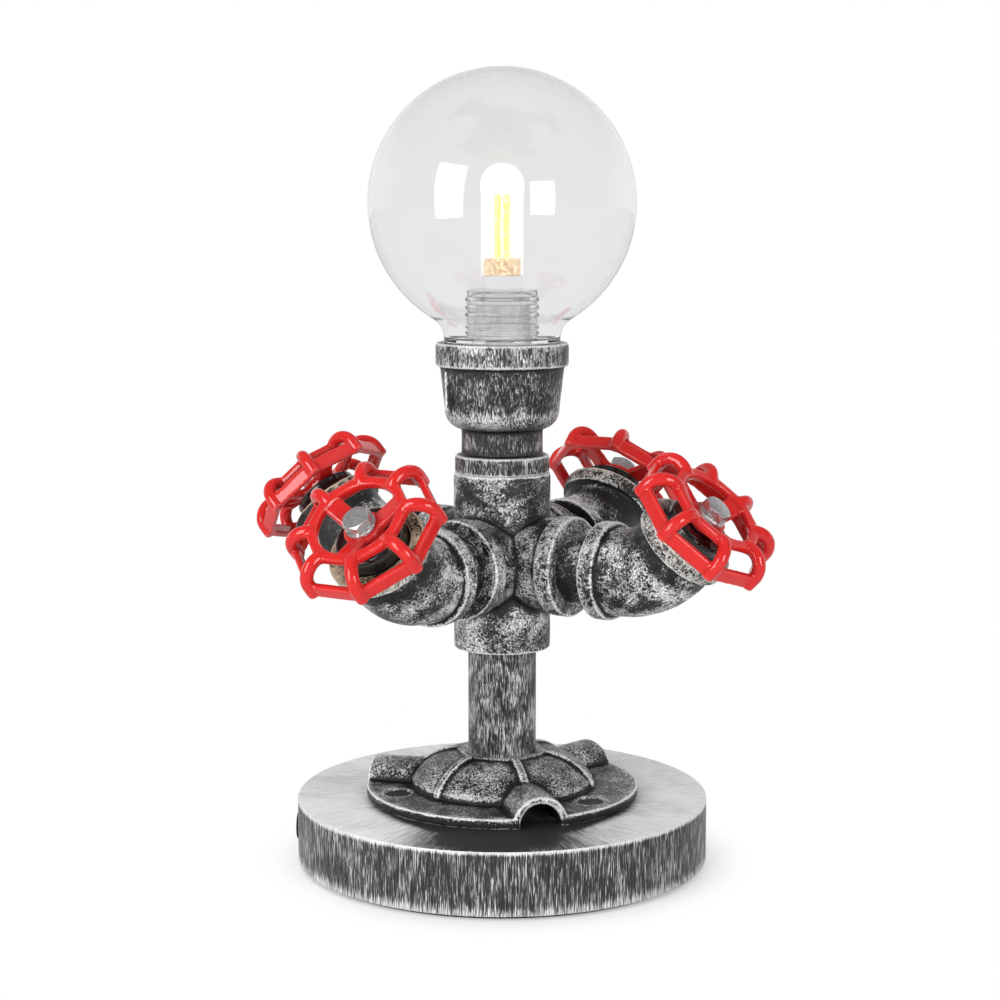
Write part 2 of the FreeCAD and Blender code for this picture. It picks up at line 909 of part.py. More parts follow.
def make_globe():
    """Blown globe with a flattened foot and an inner neck that screws on the sleeve."""
    radius = size.globe_radius
    inner = radius - size.globe_wall
    centre = size.globe_centre
    waist = size.globe_waist_radius
    waist_in = waist - size.globe_wall
    foot = size.globe_foot_radius
    lip = size.globe_foot_height
    neck_bore = size.sleeve_radius + size.sleeve_thread + size.globe_thread_fit
    neck_outer = neck_bore + size.globe_neck_wall
    turned(
        "glass_globe",
        [
            (neck_bore, 0),
            (foot - lip, 0),
            (foot, lip),
            (waist, centre - leg(radius, waist)),
            (0, centre + radius, radius),
            (0, centre + inner),
            (waist_in, centre - leg(inner, waist_in), -inner),
            (foot - size.globe_wall, lip + size.globe_wall),
            (neck_outer, size.globe_wall),
            (neck_outer, size.globe_neck_height),
            (neck_bore, size.globe_neck_height),
        ],
        Place().moved(z=GLOBE_SEAT),
    )


def make_bulb():
    """G9 bulb: foot, wire pins, driver ring, filament strips and clear capsule."""
    foot_bottom = CORE_TOP + size.bulb_gap
    foot_top = foot_bottom + size.bulb_foot_height
    driver_bottom = foot_top + size.bulb_gap
    driver_top = driver_bottom + size.driver_height
    turned(
        "bulb_foot",
        [
            (0, foot_bottom),
            (size.bulb_foot_radius - size.bulb_wall, foot_bottom),
            (size.bulb_foot_radius, foot_bottom + size.bulb_wall),
            (size.bulb_foot_radius, foot_top),
            (0, foot_top),
        ],
    )
    outer = size.bulb_radius
    inner = outer - size.bulb_wall
    spring = foot_top + size.bulb_length - outer
    turned(
        "bulb_capsule",
        [
            (inner, foot_top + size.bulb_gap),
            (outer, foot_top + size.bulb_gap),
            (outer, spring),
            (0, spring + outer, outer),
            (0, spring + inner),
            (inner, spring, -inner),
        ],
    )
    turned(
        "bulb_driver_ring",
        tube_outline(size.driver_bore_radius, size.driver_radius, driver_bottom, driver_top),
    )
    strips = [
        primitive(
            "Box",
            turn.moved(
                x=size.filament_circle - size.filament_thickness / 2,
                y=size.filament_width / -2,
                z=foot_top,
            ),
            Length=size.filament_thickness,
            Width=size.filament_width,
            Height=driver_top - foot_top + size.filament_height,
        )
        for turn in around(FILAMENT_COUNT, first=QUARTER_TURN / 2)
    ]
    grouped("bulb_filaments", strips)
    loops = []
    for side in (-1, 1):
        post = Place().moved(x=size.bulb_pin_spacing / 2 * side, z=foot_bottom)
        tip = post.moved(z=-size.bulb_pin_length)
        wires = [
            bar(size.bulb_pin_radius, size.bulb_pin_length, tip.moved(x=size.bulb_pin_loop * way))
            for way in (-1, 1)
        ]
        bow = primitive(
            "Torus",
            tip.turned("x", -QUARTER_TURN),
            Radius1=size.bulb_pin_loop,
            Radius2=size.bulb_pin_radius,
            Angle3=FULL_TURN / 2,
        )
        loops.append(joined("pin_loop", wires + [bow]))
    grouped("bulb_pins", loops)


# ---------------------------------------------------------------- arms


def elbow_core(radius):
    """A bent round bar along an elbow's centre line, from its inlet to its mouth."""
    tangent_length = size.elbow_curve * tangent(size.elbow_bend / 2)
    bend_start = size.elbow_inlet_leg - tangent_length
    inlet = bar(radius, bend_start, Place().turned("y", QUARTER_TURN))
    bend = primitive(
        "Torus",
        Place()
        .moved(x=bend_start, z=size.elbow_curve)
        .turned("y", QUARTER_TURN)
        .turned("x", QUARTER_TURN),
        Radius1=size.elbow_curve,
        Radius2=radius,
        Angle3=size.elbow_bend,
    )
    outlet = bar(radius, size.elbow_outlet_leg - tangent_length, ELBOW_CORNER.moved(z=tangent_length))
    return [inlet, bend, outlet]


def make_arm(name, place):
    """Nipple, elbow, plug and handwheel of one arm, outward from the cross."""
    turned(
        f"nipple_{name}",
        tube_outline(PIPE_BORE, size.pipe_radius, 0, size.nipple_exposed + size.thread_depth * 2),
        place.moved(x=size.outlet_reach - size.thread_depth).turned("y", QUARTER_TURN),
    )

    inlet = Place().turned("y", QUARTER_TURN)
    band = size.elbow_band_width
    metal = elbow_core(size.elbow_radius)
    metal.append(bar(size.elbow_band_radius, band, inlet))
    metal.append(bar(size.elbow_band_radius, band, ELBOW_MOUTH.moved(z=-band)))
    bores = elbow_core(size.waterway_radius)
    bores.append(bar(SOCKET_RADIUS, size.socket_depth, inlet))
    bores.append(bar(SOCKET_RADIUS, size.socket_depth, ELBOW_MOUTH.moved(z=-size.socket_depth)))
    blank = joined(f"elbow_blank_{name}", metal)
    without(f"elbow_{name}", blank, bores, place.then(ELBOW_SEAT))

    mouth = mouth_of(place)
    hole = size.bolt_radius + size.bolt_fit
    edge = size.plug_edge
    turned(
        f"mouth_plug_{name}",
        [
            (hole, -size.plug_depth),
            (size.plug_radius, -size.plug_depth),
            (size.plug_radius, size.plug_proud - edge),
            (size.plug_radius - edge, size.plug_proud, edge),
            (hole, size.plug_proud),
        ],
        mouth,
    )
    wheel_turn = getattr(size, f"wheel_turn_{name}")
    make_handwheel(name, mouth.moved(z=HUB_BOTTOM + size.ring_rise).turned("z", wheel_turn))


def make_fasteners(arms):
    """Bolts, washers and nuts that hold the four handwheels."""
    bolts, washers, nuts = [], [], []
    head_top = HEAD_BOTTOM + size.bolt_head_height
    corner = size.bolt_flats / cosine(30) / 2
    crown = size.bolt_flats / 2 * size.bolt_crown
    chamfer = (corner - crown) * tangent(30)
    point = size.plug_depth + size.nut_height + size.bolt_radius
    nut_bottom = -size.plug_depth - size.nut_height
    for arm in arms:
        mouth = mouth_of(arm)
        prism = padded("bolt_hexagon", [hexagon(size.bolt_flats)], head_top, mouth)
        cap = turned(
            "bolt_cap",
            [
                (0, HEAD_BOTTOM),
                (corner, HEAD_BOTTOM),
                (corner, head_top - chamfer),
                (crown, head_top),
                (0, head_top),
            ],
            mouth,
        )
        head = doc.addObject("Part::MultiCommon", "bolt_head")
        head.Shapes = [prism, cap]
        shank = bar(size.bolt_radius, HEAD_BOTTOM + point, mouth.moved(z=-point))
        bolts.append(joined("wheel_bolt", [head, shank]))
        hole = size.bolt_radius + size.bolt_fit
        washer_top = WASHER_BOTTOM + size.washer_thickness
        washer = tube_outline(hole, size.washer_radius, WASHER_BOTTOM, washer_top)
        washers.append(turned("wheel_washer", washer, mouth))
        nut_place = mouth.moved(z=nut_bottom)
        nut = padded("nut_blank", [hexagon(size.bolt_flats)], size.nut_height, nut_place)
        nuts.append(without("wheel_nut", nut, [bar(hole, size.nut_height, nut_place)]))
    grouped("wheel_bolts", bolts)
    grouped("wheel_washers", washers)
    grouped("wheel_nuts", nuts)


def octagon_ring(outer, inner, height, place):
    """An eight-sided ring with its corners on the knuckles."""
    solids = []
    for radius in (outer, inner):
        prism = primitive("Prism", place, Circumradius=radius, Height=height)
        prism.Polygon = KNUCKLE_COUNT
        solids.append(prism)
    return without("octagon_ring", solids[0], [solids[1]])


def make_handwheel(name, place):
    """Handwheel. Its z axis points outward, and z = 0 is the top face of its ring."""
    ring_low = Place().moved(z=-size.ring_thickness)
    ring_blank = primitive(
        "Prism", ring_low, Circumradius=size.ring_outer_radius, Height=size.ring_thickness
    )
    ring_blank.Polygon = KNUCKLE_COUNT
    opening = bar(size.ring_inner_radius, size.ring_thickness, ring_low)
    ring = without("wheel_ring", ring_blank, [opening])
    rim_low = -size.rim_drop - size.rim_height
    rim_inner = size.rim_radius - size.rim_thickness / cosine(FULL_TURN / KNUCKLE_COUNT / 2)
    rim = octagon_ring(size.rim_radius, rim_inner, size.rim_height, Place().moved(z=rim_low))
    pieces = [ring, rim]
    for turn in around(KNUCKLE_COUNT):
        arch = turn.moved(x=size.knuckle_centre, z=-size.knuckle_drop)
        pieces.append(
            primitive(
                "Torus",
                arch.turned("x", QUARTER_TURN),
                Radius1=size.knuckle_arch,
                Radius2=size.knuckle_radius,
                Angle3=size.knuckle_sweep,
            )
        )
        foot = turn.moved(x=size.knuckle_centre + size.knuckle_arch, z=rim_low)
        pieces.append(bar(size.knuckle_radius, -size.knuckle_drop - rim_low, foot))
    hub_low = -size.ring_rise
    pieces.append(bar(size.hub_radius, size.hub_height, Place().moved(z=hub_low)))
    spoke_start = size.bolt_radius + size.spoke_thickness
    spoke_run = (size.ring_inner_radius + size.ring_outer_radius) / 2 - spoke_start
    for turn in around(SPOKE_COUNT):
        spoke = turn.moved(x=spoke_start, y=size.spoke_width / -2, z=hub_low + size.hub_height / 4)
        pieces.append(
            primitive(
                "Box",
                spoke.turned("y", -size.spoke_slope),
                Length=spoke_run,
                Width=size.spoke_width,
                Height=size.spoke_thickness,
            )
        )
    wheel = joined(f"wheel_blank_{name}", pieces)
    bore = bar(size.bolt_radius + size.bolt_fit, size.ring_rise * 2, Place().moved(z=-size.ring_rise * 2))
    without(f"handwheel_{name}", wheel, [bore], place)


# ---------------------------------------------------------------- the whole lamp

make_base()
make_inlet()
make_wiring()
make_flange()
make_column()
make_holder()
make_globe()
make_bulb()

arm_places = [
    Place().moved(z=CROSS_CENTRE).turned("z", size.arm_azimuth + QUARTER_TURN * index)
    for index in range(len(ARM_NAMES))
]
for arm_name, arm_place in zip(ARM_NAMES, arm_places):
    make_arm(arm_name, arm_place)
make_fasteners(arm_places)

doc.recompute()

# ---------------------------------------------------------------- checks and export

NODES = [
    "felt_pad",
    "base_disc",
    "bottom_cover",
    "cover_screws",
    "cable_grommet",
    "terminal_block",
    "terminal_screws",
    "internal_lead",
    "floor_flange",
    "flange_screws",
    "riser_pipe",
    "six_way_cross",
    "column_nipple",
    "bell_reducer",
    "holder_plate",
    "holder_stem",
    "stem_nut",
    "holder_sleeve",
    "holder_core",
    "holder_contacts",
    "glass_globe",
    "bulb_foot",
    "bulb_capsule",
    "bulb_driver_ring",
    "bulb_filaments",
    "bulb_pins",
    "wheel_bolts",
    "wheel_washers",
    "wheel_nuts",
]
ARM_PARTS = ("nipple", "elbow", "mouth_plug", "handwheel")
NODES += [f"{part}_{name}" for name in ARM_NAMES for part in ARM_PARTS]


def check_and_export():
    for item in doc.Objects:
        if "Invalid" in item.State or "Error" in item.State:
            raise RuntimeError(f"{item.Label} could not be made: {item.State}")
    os.makedirs("parts", exist_ok=True)
    for node in NODES:
        shape = doc.getObjectsByLabel(node)[0].Shape
        if shape.isNull() or not shape.isValid() or not shape.Solids:
            raise RuntimeError(f"{node} is not a valid solid")
        shape.exportStep(f"parts/{node}.step")
        print(f"{node}: {len(shape.Solids)} solid(s), {shape.Volume:.1f} mm3")


check_and_export()
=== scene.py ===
"""Looks of the pipe table lamp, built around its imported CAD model.

Sizes in the classes are millimetres. Meshes are written in metres, in the lamp's own frame.
"""

from __future__ import annotations

import json
import logging
import math
from dataclasses import dataclass
from enum import Enum
from functools import cache
from typing import Callable, Sequence

import bmesh
import bpy
import numpy as np
from mathutils import Matrix, Vector, geometry, noise


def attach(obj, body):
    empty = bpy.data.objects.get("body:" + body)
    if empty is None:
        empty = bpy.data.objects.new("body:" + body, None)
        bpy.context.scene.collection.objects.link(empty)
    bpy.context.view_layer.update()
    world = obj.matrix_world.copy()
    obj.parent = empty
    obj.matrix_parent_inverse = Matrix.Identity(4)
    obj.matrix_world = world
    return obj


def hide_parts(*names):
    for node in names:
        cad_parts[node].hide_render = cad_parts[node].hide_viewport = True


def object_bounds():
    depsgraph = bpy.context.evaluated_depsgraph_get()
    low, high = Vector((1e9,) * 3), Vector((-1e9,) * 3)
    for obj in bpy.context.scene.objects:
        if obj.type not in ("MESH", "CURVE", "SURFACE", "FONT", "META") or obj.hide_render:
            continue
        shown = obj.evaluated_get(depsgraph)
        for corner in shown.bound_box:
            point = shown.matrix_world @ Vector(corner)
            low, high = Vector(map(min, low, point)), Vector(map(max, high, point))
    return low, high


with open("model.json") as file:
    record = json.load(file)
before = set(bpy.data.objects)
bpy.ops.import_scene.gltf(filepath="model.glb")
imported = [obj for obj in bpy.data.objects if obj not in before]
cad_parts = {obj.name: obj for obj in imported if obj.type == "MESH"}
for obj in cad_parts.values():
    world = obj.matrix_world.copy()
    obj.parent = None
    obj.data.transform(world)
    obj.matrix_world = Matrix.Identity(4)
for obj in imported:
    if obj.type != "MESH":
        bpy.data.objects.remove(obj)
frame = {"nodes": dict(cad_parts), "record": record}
CAD_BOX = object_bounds()

log = logging.getLogger("pipe_lamp")

MM = 0.001
ARMS = ("front_right", "back_right", "back_left", "front_left")
Colour = tuple[float, float, float]
Point = tuple[float, float]
Socket = bpy.types.NodeSocket
Sockets = dict[str, Socket]
Node = bpy.types.Node
Material = bpy.types.Material
Mesh = bpy.types.Mesh
Piece = bpy.types.Object


def linear(level: float) -> float:
    """Gives the linear value of a display level from 0 to 255."""
    share = level / 255
    return share / 12.92 if share <= 0.04045 else ((share + 0.055) / 1.055) ** 2.4


def grey(level: float) -> Colour:
    """Gives the neutral colour of a display level from 0 to 255."""
    return (linear(level),) * 3


def tint(red: float, green: float, blue: float) -> Colour:
    """Gives the linear colour of three display levels from 0 to 255."""
    return (linear(red), linear(green), linear(blue))


# ---- shader wiring


class Wiring:
    """Adds nodes to one node tree and joins them."""

    def __init__(self, tree: bpy.types.NodeTree) -> None:
        """Keeps the tree that the nodes go into."""
        self.tree = tree

    def node(self, kind: str, **settings: object) -> Node:
        """Adds a node.

        Args:
            kind: The node's type without the word ShaderNode.
            **settings: Properties of the node.

        Returns:
            The new node.
        """
        made = self.tree.nodes.new("ShaderNode" + kind)
        for name, value in settings.items():
            setattr(made, name, value)
        return made

    def feed(self, socket: Socket, value: object) -> None:
        """Links a socket to another, or gives it a plain value."""
        if isinstance(value, Socket):
            self.tree.links.new(value, socket)
        elif isinstance(value, tuple) and len(socket.default_value) == 4:
            socket.default_value = (*value[:3], 1.0)
        else:
            socket.default_value = value

    def fill(self, node: Node, **values: object) -> None:
        """Feeds a node's inputs by name, with _ for a space in a name."""
        for name, value in values.items():
            self.feed(node.inputs[name.replace("_", " ")], value)

    def maths(self, operation: str, *values: object, clamp: bool = False) -> Socket:
        """Adds a Math node and gives its result."""
        made = self.node("Math", operation=operation, use_clamp=clamp)
        for socket, value in zip(made.inputs, values):
            self.feed(socket, value)
        return made.outputs[0]

    def plus(self, first: object, second: object, clamp: bool = False) -> Socket:
        """Adds two numbers."""
        return self.maths("ADD", first, second, clamp=clamp)

    def minus(self, first: object, second: object, clamp: bool = False) -> Socket:
        """Takes the second number from the first."""
        return self.maths("SUBTRACT", first, second, clamp=clamp)

    def times(self, first: object, second: object) -> Socket:
        """Multiplies two numbers."""
        return self.maths("MULTIPLY", first, second)

    def split(self, vector: Socket) -> Sockets:
        """Gives the X, Y and Z of a vector."""
        made = self.node("SeparateXYZ")
        self.feed(made.inputs[0], vector)
        return {axis: made.outputs[axis] for axis in "XYZ"}

    def scaled(self, vector: Socket, by: object) -> Socket:
        """Multiplies a vector by another, axis by axis."""
        made = self.node("VectorMath", operation="MULTIPLY")
        self.feed(made.inputs[0], vector)
        self.feed(made.inputs[1], by)
        return made.outputs[0]

    def remap(self, value: Socket, low: object, high: object, end: float = 1.0) -> Socket:
        """Eases a value from 0 at low to the end value at high."""
        made = self.node("MapRange", interpolation_type="SMOOTHSTEP")
        self.fill(made, Value=value, From_Min=low, From_Max=high, To_Max=end)
        return made.outputs[0]

    def mixed(self, share: object, first: object, second: object) -> Socket:
        """Mixes two colours."""
        made = self.node("Mix", data_type="RGBA")
        self.feed(made.inputs["Factor"], share)
        self.feed(made.inputs[6], first)
        self.feed(made.inputs[7], second)
        return made.outputs[2]

    def blended(self, share: object, first: float, second: float) -> Socket:
        """Mixes two plain numbers."""
        return self.maths("MULTIPLY_ADD", share, second - first, first)

    def noise(
        self,
        vector: Socket,
        scale: object,
        detail: float = 2.0,
        rough: float = 0.5,
        bend: float = 0.0,
    ) -> Socket:
        """Adds a noise texture and gives its factor."""
        made = self.node("TexNoise")
        self.fill(
            made, Vector=vector, Scale=scale, Detail=detail, Roughness=rough, Distortion=bend
        )
        return made.outputs[0]

    def place(self) -> Socket:
        """Gives the point's place in the lamp's frame, in metres."""
        return self.node("TexCoord").outputs["Object"]

    def attribute(self, name: str) -> Socket:
        """Gives a number stored on the mesh."""
        return self.node("Attribute", attribute_name=name).outputs["Fac"]


@dataclass(frozen=True)
class SharedEffect:
    """A node group that several finishes use.

    Attributes:
        name: Name of the group.
        inputs: Socket type of each input, all of which are given where it is placed.
        outputs: Socket type of each output.
        wire: Fills the group, from its wiring and its inputs, and gives the outputs.
    """

    name: str
    inputs: dict[str, str]
    outputs: dict[str, str]
    wire: Callable[[Wiring, Sockets], Sockets]

    def tree(self) -> bpy.types.NodeTree:
        """Gives the node group, and builds it the first time."""
        if self.name in bpy.data.node_groups:
            return bpy.data.node_groups[self.name]
        tree = bpy.data.node_groups.new(self.name, "ShaderNodeTree")
        for way, sockets in (("INPUT", self.inputs), ("OUTPUT", self.outputs)):
            for name, kind in sockets.items():
                tree.interface.new_socket(name, in_out=way, socket_type="NodeSocket" + kind)
        wiring = Wiring(tree)
        start = tree.nodes.new("NodeGroupInput")
        end = tree.nodes.new("NodeGroupOutput")
        results = self.wire(wiring, {name: start.outputs[name] for name in self.inputs})
        wiring.fill(end, **results)
        return tree

    def placed(self, wiring: Wiring, **values: object) -> Sockets:
        """Places the group in a material.

        Args:
            wiring: Wiring of the material.
            **values: A value or a socket for each input, with _ for a space in a name.

        Returns:
            The outputs by name.
        """
        made = wiring.node("Group", node_tree=self.tree())
        wiring.fill(made, **values)
        return {name: made.outputs[name] for name in self.outputs}


# Scales against the grain's own, and how narrow the veins are.
VEIN_SCALE, TONE_SCALE, VEIN_SHARPNESS = 0.4, 1.7, 9.0
# How far a hollow keeps its silver, and what full silver adds to metal and height.
SHELTER_LIMIT, SILVER_METAL, SILVER_HEIGHT = 0.15, 0.35, 0.15
DARK_ROUGHNESS, SILVER_ROUGHNESS = 0.33, 0.36
FINE_HEIGHT, VEIN_HEIGHT = 0.7, 0.35
GOLD: Colour = (0.6, 0.46, 0.24)


def wire_rubbed_silver(w: Wiring, given: Sockets) -> Sockets:
    """Wires dark paint with silver rubbed over its high spots, and painted shade in its hollows.

    Args:
        w: Wiring of the group.
        given: The group's inputs.

    Returns:
        Colour, metallic, roughness and height.
    """
    drawn = w.scaled(given["Place"], given["Stretch"])
    fine = w.noise(drawn, given["Grain"], detail=3.0, rough=0.62, bend=0.5)
    vein_scale = w.times(given["Grain"], VEIN_SCALE)
    wavy = w.noise(drawn, vein_scale, detail=2.5, rough=0.55, bend=1.5)
    vein = w.maths("ABSOLUTE", w.minus(wavy, 0.5))
    vein = w.maths("MAXIMUM", w.minus(0.5, w.times(vein, VEIN_SHARPNESS)), -0.5)
    patches = w.noise(given["Place"], given["Patch Scale"], detail=3.0, rough=0.55)
    rim = w.minus(w.remap(given["Relief"], 0.15, 0.8), w.remap(given["Relief"], -0.1, -0.8))
    # Hollows take less silver and exposed spots a little more; this darkening of hollows is partly
    # painted shade.
    sheltered_and_shaded = w.maths("MINIMUM", given["Hollow"], SHELTER_LIMIT)
    level = given["Coverage"]
    for source, amount in (
        (w.minus(fine, 0.5), "Bite"),
        (vein, "Veins"),
        (w.minus(patches, 0.5), "Patchiness"),
        (rim, "Edge"),
        (sheltered_and_shaded, "Shelter"),
    ):
        level = w.maths("MULTIPLY_ADD", source, given[amount], level)
    # Adds the finish's rubs, its painted light from above and its painted shade.
    level = w.plus(level, given["Rub"])
    soft = given["Softness"]
    silver = w.remap(level, w.minus(0.5, soft), w.plus(0.5, soft))
    tone = w.noise(drawn, w.times(given["Grain"], TONE_SCALE), detail=2.0)
    shine = w.plus(w.remap(tone, 0.35, 0.65, end=0.6), w.remap(level, 0.4, 1.3, end=0.4))
    bright = w.mixed(shine, given["Silver Low"], given["Silver"])
    bright = w.mixed(given["Gilt"], bright, GOLD)
    dark = w.mixed(w.remap(level, -0.2, 0.6), given["Dark"], given["Dark High"])
    # Painted shade: hollows are darkened toward the dark paint.
    shade = w.remap(w.times(given["Hollow"], -1.0), 0.1, 0.9, end=0.9)
    ridges = w.times(w.plus(vein, 0.5), w.times(given["Veins"], VEIN_HEIGHT))
    height = w.maths("MULTIPLY_ADD", fine, FINE_HEIGHT, ridges)
    return {
        "Color": w.mixed(shade, w.mixed(silver, dark, bright), given["Dark"]),
        "Metallic": w.times(silver, SILVER_METAL),
        "Roughness": w.blended(silver, DARK_ROUGHNESS, SILVER_ROUGHNESS),
        "Height": w.plus(height, w.times(silver, SILVER_HEIGHT)),
    }


RUBBED_SILVER = SharedEffect(
    "rubbed_silver",
    dict.fromkeys(("Place", "Stretch"), "Vector")
    | dict.fromkeys(("Grain", "Bite", "Coverage", "Veins", "Patch Scale", "Patchiness"), "Float")
    | dict.fromkeys(("Softness", "Relief", "Edge", "Hollow", "Shelter", "Rub", "Gilt"), "Float")
    | dict.fromkeys(("Dark", "Dark High", "Silver", "Silver Low"), "Color"),
    {"Color": "Color", "Metallic": "Float", "Roughness": "Float", "Height": "Float"},
    wire_rubbed_silver,
)


def wire_mottle(w: Wiring, given: Sockets) -> Sockets:
    """Wires a plain surface that is a little uneven in colour, gloss and height.

    Args:
        w: Wiring of the group.
        given: The group's inputs.

    Returns:
        Colour, roughness and height.
    """
    drawn = w.scaled(given["Place"], given["Stretch"])
    spots = w.noise(drawn, given["Grain"], detail=4.0, rough=0.6)
    clouds = w.noise(given["Place"], 60.0, detail=2.0)
    share = w.plus(w.times(spots, 0.6), w.times(clouds, 0.4))
    low = w.minus(given["Roughness"], given["Roughness Range"])
    high = w.plus(given["Roughness"], given["Roughness Range"])
    rough = w.node("MapRange")
    w.fill(rough, Value=spots, To_Min=low, To_Max=high)
    return {
        "Color": w.mixed(w.remap(share, 0.35, 0.65), given["Low"], given["High"]),
        "Roughness": rough.outputs[0],
        "Height": spots,
    }


MOTTLE = SharedEffect(
    "mottle",
    dict.fromkeys(("Place", "Stretch"), "Vector")
    | dict.fromkeys(("Grain", "Roughness", "Roughness Range"), "Float")
    | dict.fromkeys(("Low", "High"), "Color"),
    {"Color": "Color", "Roughness": "Float", "Height": "Float"},
    wire_mottle,
)


# ---- finishes


# Distance from the axis at which a radial grain is as fine as its scale says.
RADIAL_ARM = 60.0
GLASS_IOR = 1.46


class Grain(Enum):
    """How the silver was brushed on."""

    SPECKLED = 1.0
    UPRIGHT = 0.055
    SCRATCHED = 0.11
    SHORT_UPRIGHT = 0.22
    RADIAL = 0.08


@dataclass(frozen=True)
class Finish:
    """A finish, which wires its own material."""

    name: str

    @cache
    def material(self) -> Material:
        """Builds the material the first time, and gives the same one after that."""
        material = bpy.data.materials.new(self.name)
        material.use_nodes = True
        self.wire(Wiring(material.node_tree), material.node_tree.nodes["Principled BSDF"])
        return material

    def wire(self, w: Wiring, shader: Node) -> None:
        """Wires the material.

        Args:
            w: Its wiring.
            shader: Its Principled shader.
        """
        raise NotImplementedError


def add_bump(w: Wiring, shader: Node, height: Socket, depth: float) -> None:
    """Gives a shader its small relief.

    Args:
        w: Wiring of the material.
        shader: Its Principled shader.
        height: Height from 0 to 1.
        depth: What a height of 1 stands for, in millimetres.
    """
    bump = w.node("Bump")
    w.fill(bump, Distance=depth * MM, Height=height)
    w.fill(shader, Normal=bump.outputs[0])


@dataclass(frozen=True)
class BandRubAndShade:
    """Silver that is heavier around one level above the table, or one distance from the axis;
    where its amount is below zero, it is painted shade instead.

    Attributes:
        middle: The level or distance where it is heaviest.
        reach: How far it fades out.
        amount: How much silver it adds there; below zero it paints shade.
        outward: Whether it goes by the distance from the axis.
        ahead: How far before the axis that distance starts.
    """

    middle: float
    reach: float
    amount: float
    outward: bool = False
    ahead: float = 0.0

    def wired(self, w: Wiring, measure: Socket) -> Socket:
        """Gives what this band adds at a level or distance, in metres."""
        off = w.maths("ABSOLUTE", w.minus(measure, self.middle * MM))
        return w.remap(off, self.reach * MM, 0.0, end=self.amount)


@dataclass(frozen=True)
class AntiqueFinish(Finish):
    """Dark paint with antique silver rubbed on, and with painted light from above and painted
    shade.
    """

    grain: Grain = Grain.SPECKLED
    grain_scale: float = 1150.0
    bite: float = 2.2
    coverage: float = 0.26
    veins: float = 0.7
    patch_scale: float = 100.0
    patchiness: float = 2.5
    softness: float = 0.32
    edge: float = 1.5
    shelter: float = 1.3
    # Painted light from above: how much more silver the faces that point up take.
    top_light: float = 0.15
    dark: float = 4.0
    dark_high: float = 34.0
    silver: float = 252.0
    silver_low: float = 130.0
    depth: float = 0.35
    specular: float = 0.5
    sheen: float = 1.0
    matte: float = 0.0
    rubs_and_shades: tuple[BandRubAndShade, ...] = ()

    def wire(self, w: Wiring, shader: Node) -> None:
        """Wires paint, silver, relief, and the painted light and shade."""
        place = w.place()
        axes = w.split(place)
        facing = w.split(w.node("NewGeometry").outputs["Normal"])
        # Painted light from above: faces that point up take more silver.
        rub_light_and_shade = w.times(w.maths("MAXIMUM", facing["Z"], 0.0), self.top_light)
        # Painted shade on the elbows' necks behind their collars takes silver away.
        rub_light_and_shade = w.minus(rub_light_and_shade, w.attribute("bare"))
        # Bands of rubbed silver, and bands of painted shade where the amount is below zero.
        for band in self.rubs_and_shades:
            measure = self.outward(w, axes, band.ahead) if band.outward else axes["Z"]
            rub_light_and_shade = w.plus(band.wired(w, measure), rub_light_and_shade)
        amounts = ("bite", "coverage", "veins", "patch_scale", "patchiness", "softness")
        amounts += ("edge", "shelter")
        tones = ("dark", "dark_high", "silver", "silver_low")
        made = RUBBED_SILVER.placed(
            w,
            Place=self.radial_place(w, axes) if self.grain is Grain.RADIAL else place,
            Stretch=(1.0, 1.0, self.grain.value),
            Grain=self.grain_scale,
            Relief=w.attribute("relief"),
            Hollow=w.attribute("hollow"),
            Rub=rub_light_and_shade,
            Gilt=w.attribute("gilt"),
            **{name.title(): getattr(self, name) for name in amounts},
            **{name.title(): grey(getattr(self, name)) for name in tones},
        )
        w.fill(
            shader,
            Base_Color=made["Color"],
            Metallic=w.times(made["Metallic"], self.sheen),
            Roughness=w.plus(made["Roughness"], self.matte),
            Specular_IOR_Level=self.specular,
        )
        add_bump(w, shader, made["Height"], self.depth)

    @staticmethod
    def outward(w: Wiring, axes: Sockets, ahead: float = 0.0) -> Socket:
        """Gives the distance from the lamp's axis, or from a line that stands ahead of it."""
        deep = w.plus(axes["Y"], ahead * MM)
        return w.maths("SQRT", w.plus(*(w.times(side, side) for side in (axes["X"], deep))))

    @classmethod
    def radial_place(cls, w: Wiring, axes: Sockets) -> Socket:
        """Gives a place that changes fast around the lamp's axis and slowly outward."""
        outward = cls.outward(w, axes)
        around = {
            axis: w.times(w.maths("DIVIDE", axes[axis], outward), RADIAL_ARM * MM) for axis in "XY"
        }
        joined = w.node("CombineXYZ")
        w.fill(joined, Z=outward, **around)
        return joined.outputs[0]


@dataclass(frozen=True)
class PlainFinish(Finish):
    """A surface of one stuff, a little uneven."""

    low: Colour
    high: Colour
    roughness: float = 0.4
    roughness_range: float = 0.06
    metallic: float = 0.0
    coat: float = 0.0
    sheen: float = 0.0
    grain: float = 500.0
    stretch: Colour = (1.0, 1.0, 1.0)
    depth: float = 0.03

    def wire(self, w: Wiring, shader: Node) -> None:
        """Wires the uneven surface."""
        made = MOTTLE.placed(
            w,
            Place=w.place(),
            Stretch=self.stretch,
            Grain=self.grain,
            Low=self.low,
            High=self.high,
            Roughness=self.roughness,
            Roughness_Range=self.roughness_range,
        )
        w.fill(
            shader,
            Base_Color=made["Color"],
            Roughness=made["Roughness"],
            Metallic=self.metallic,
            Coat_Weight=self.coat,
            Sheen_Weight=self.sheen,
        )
        add_bump(w, shader, made["Height"], self.depth)


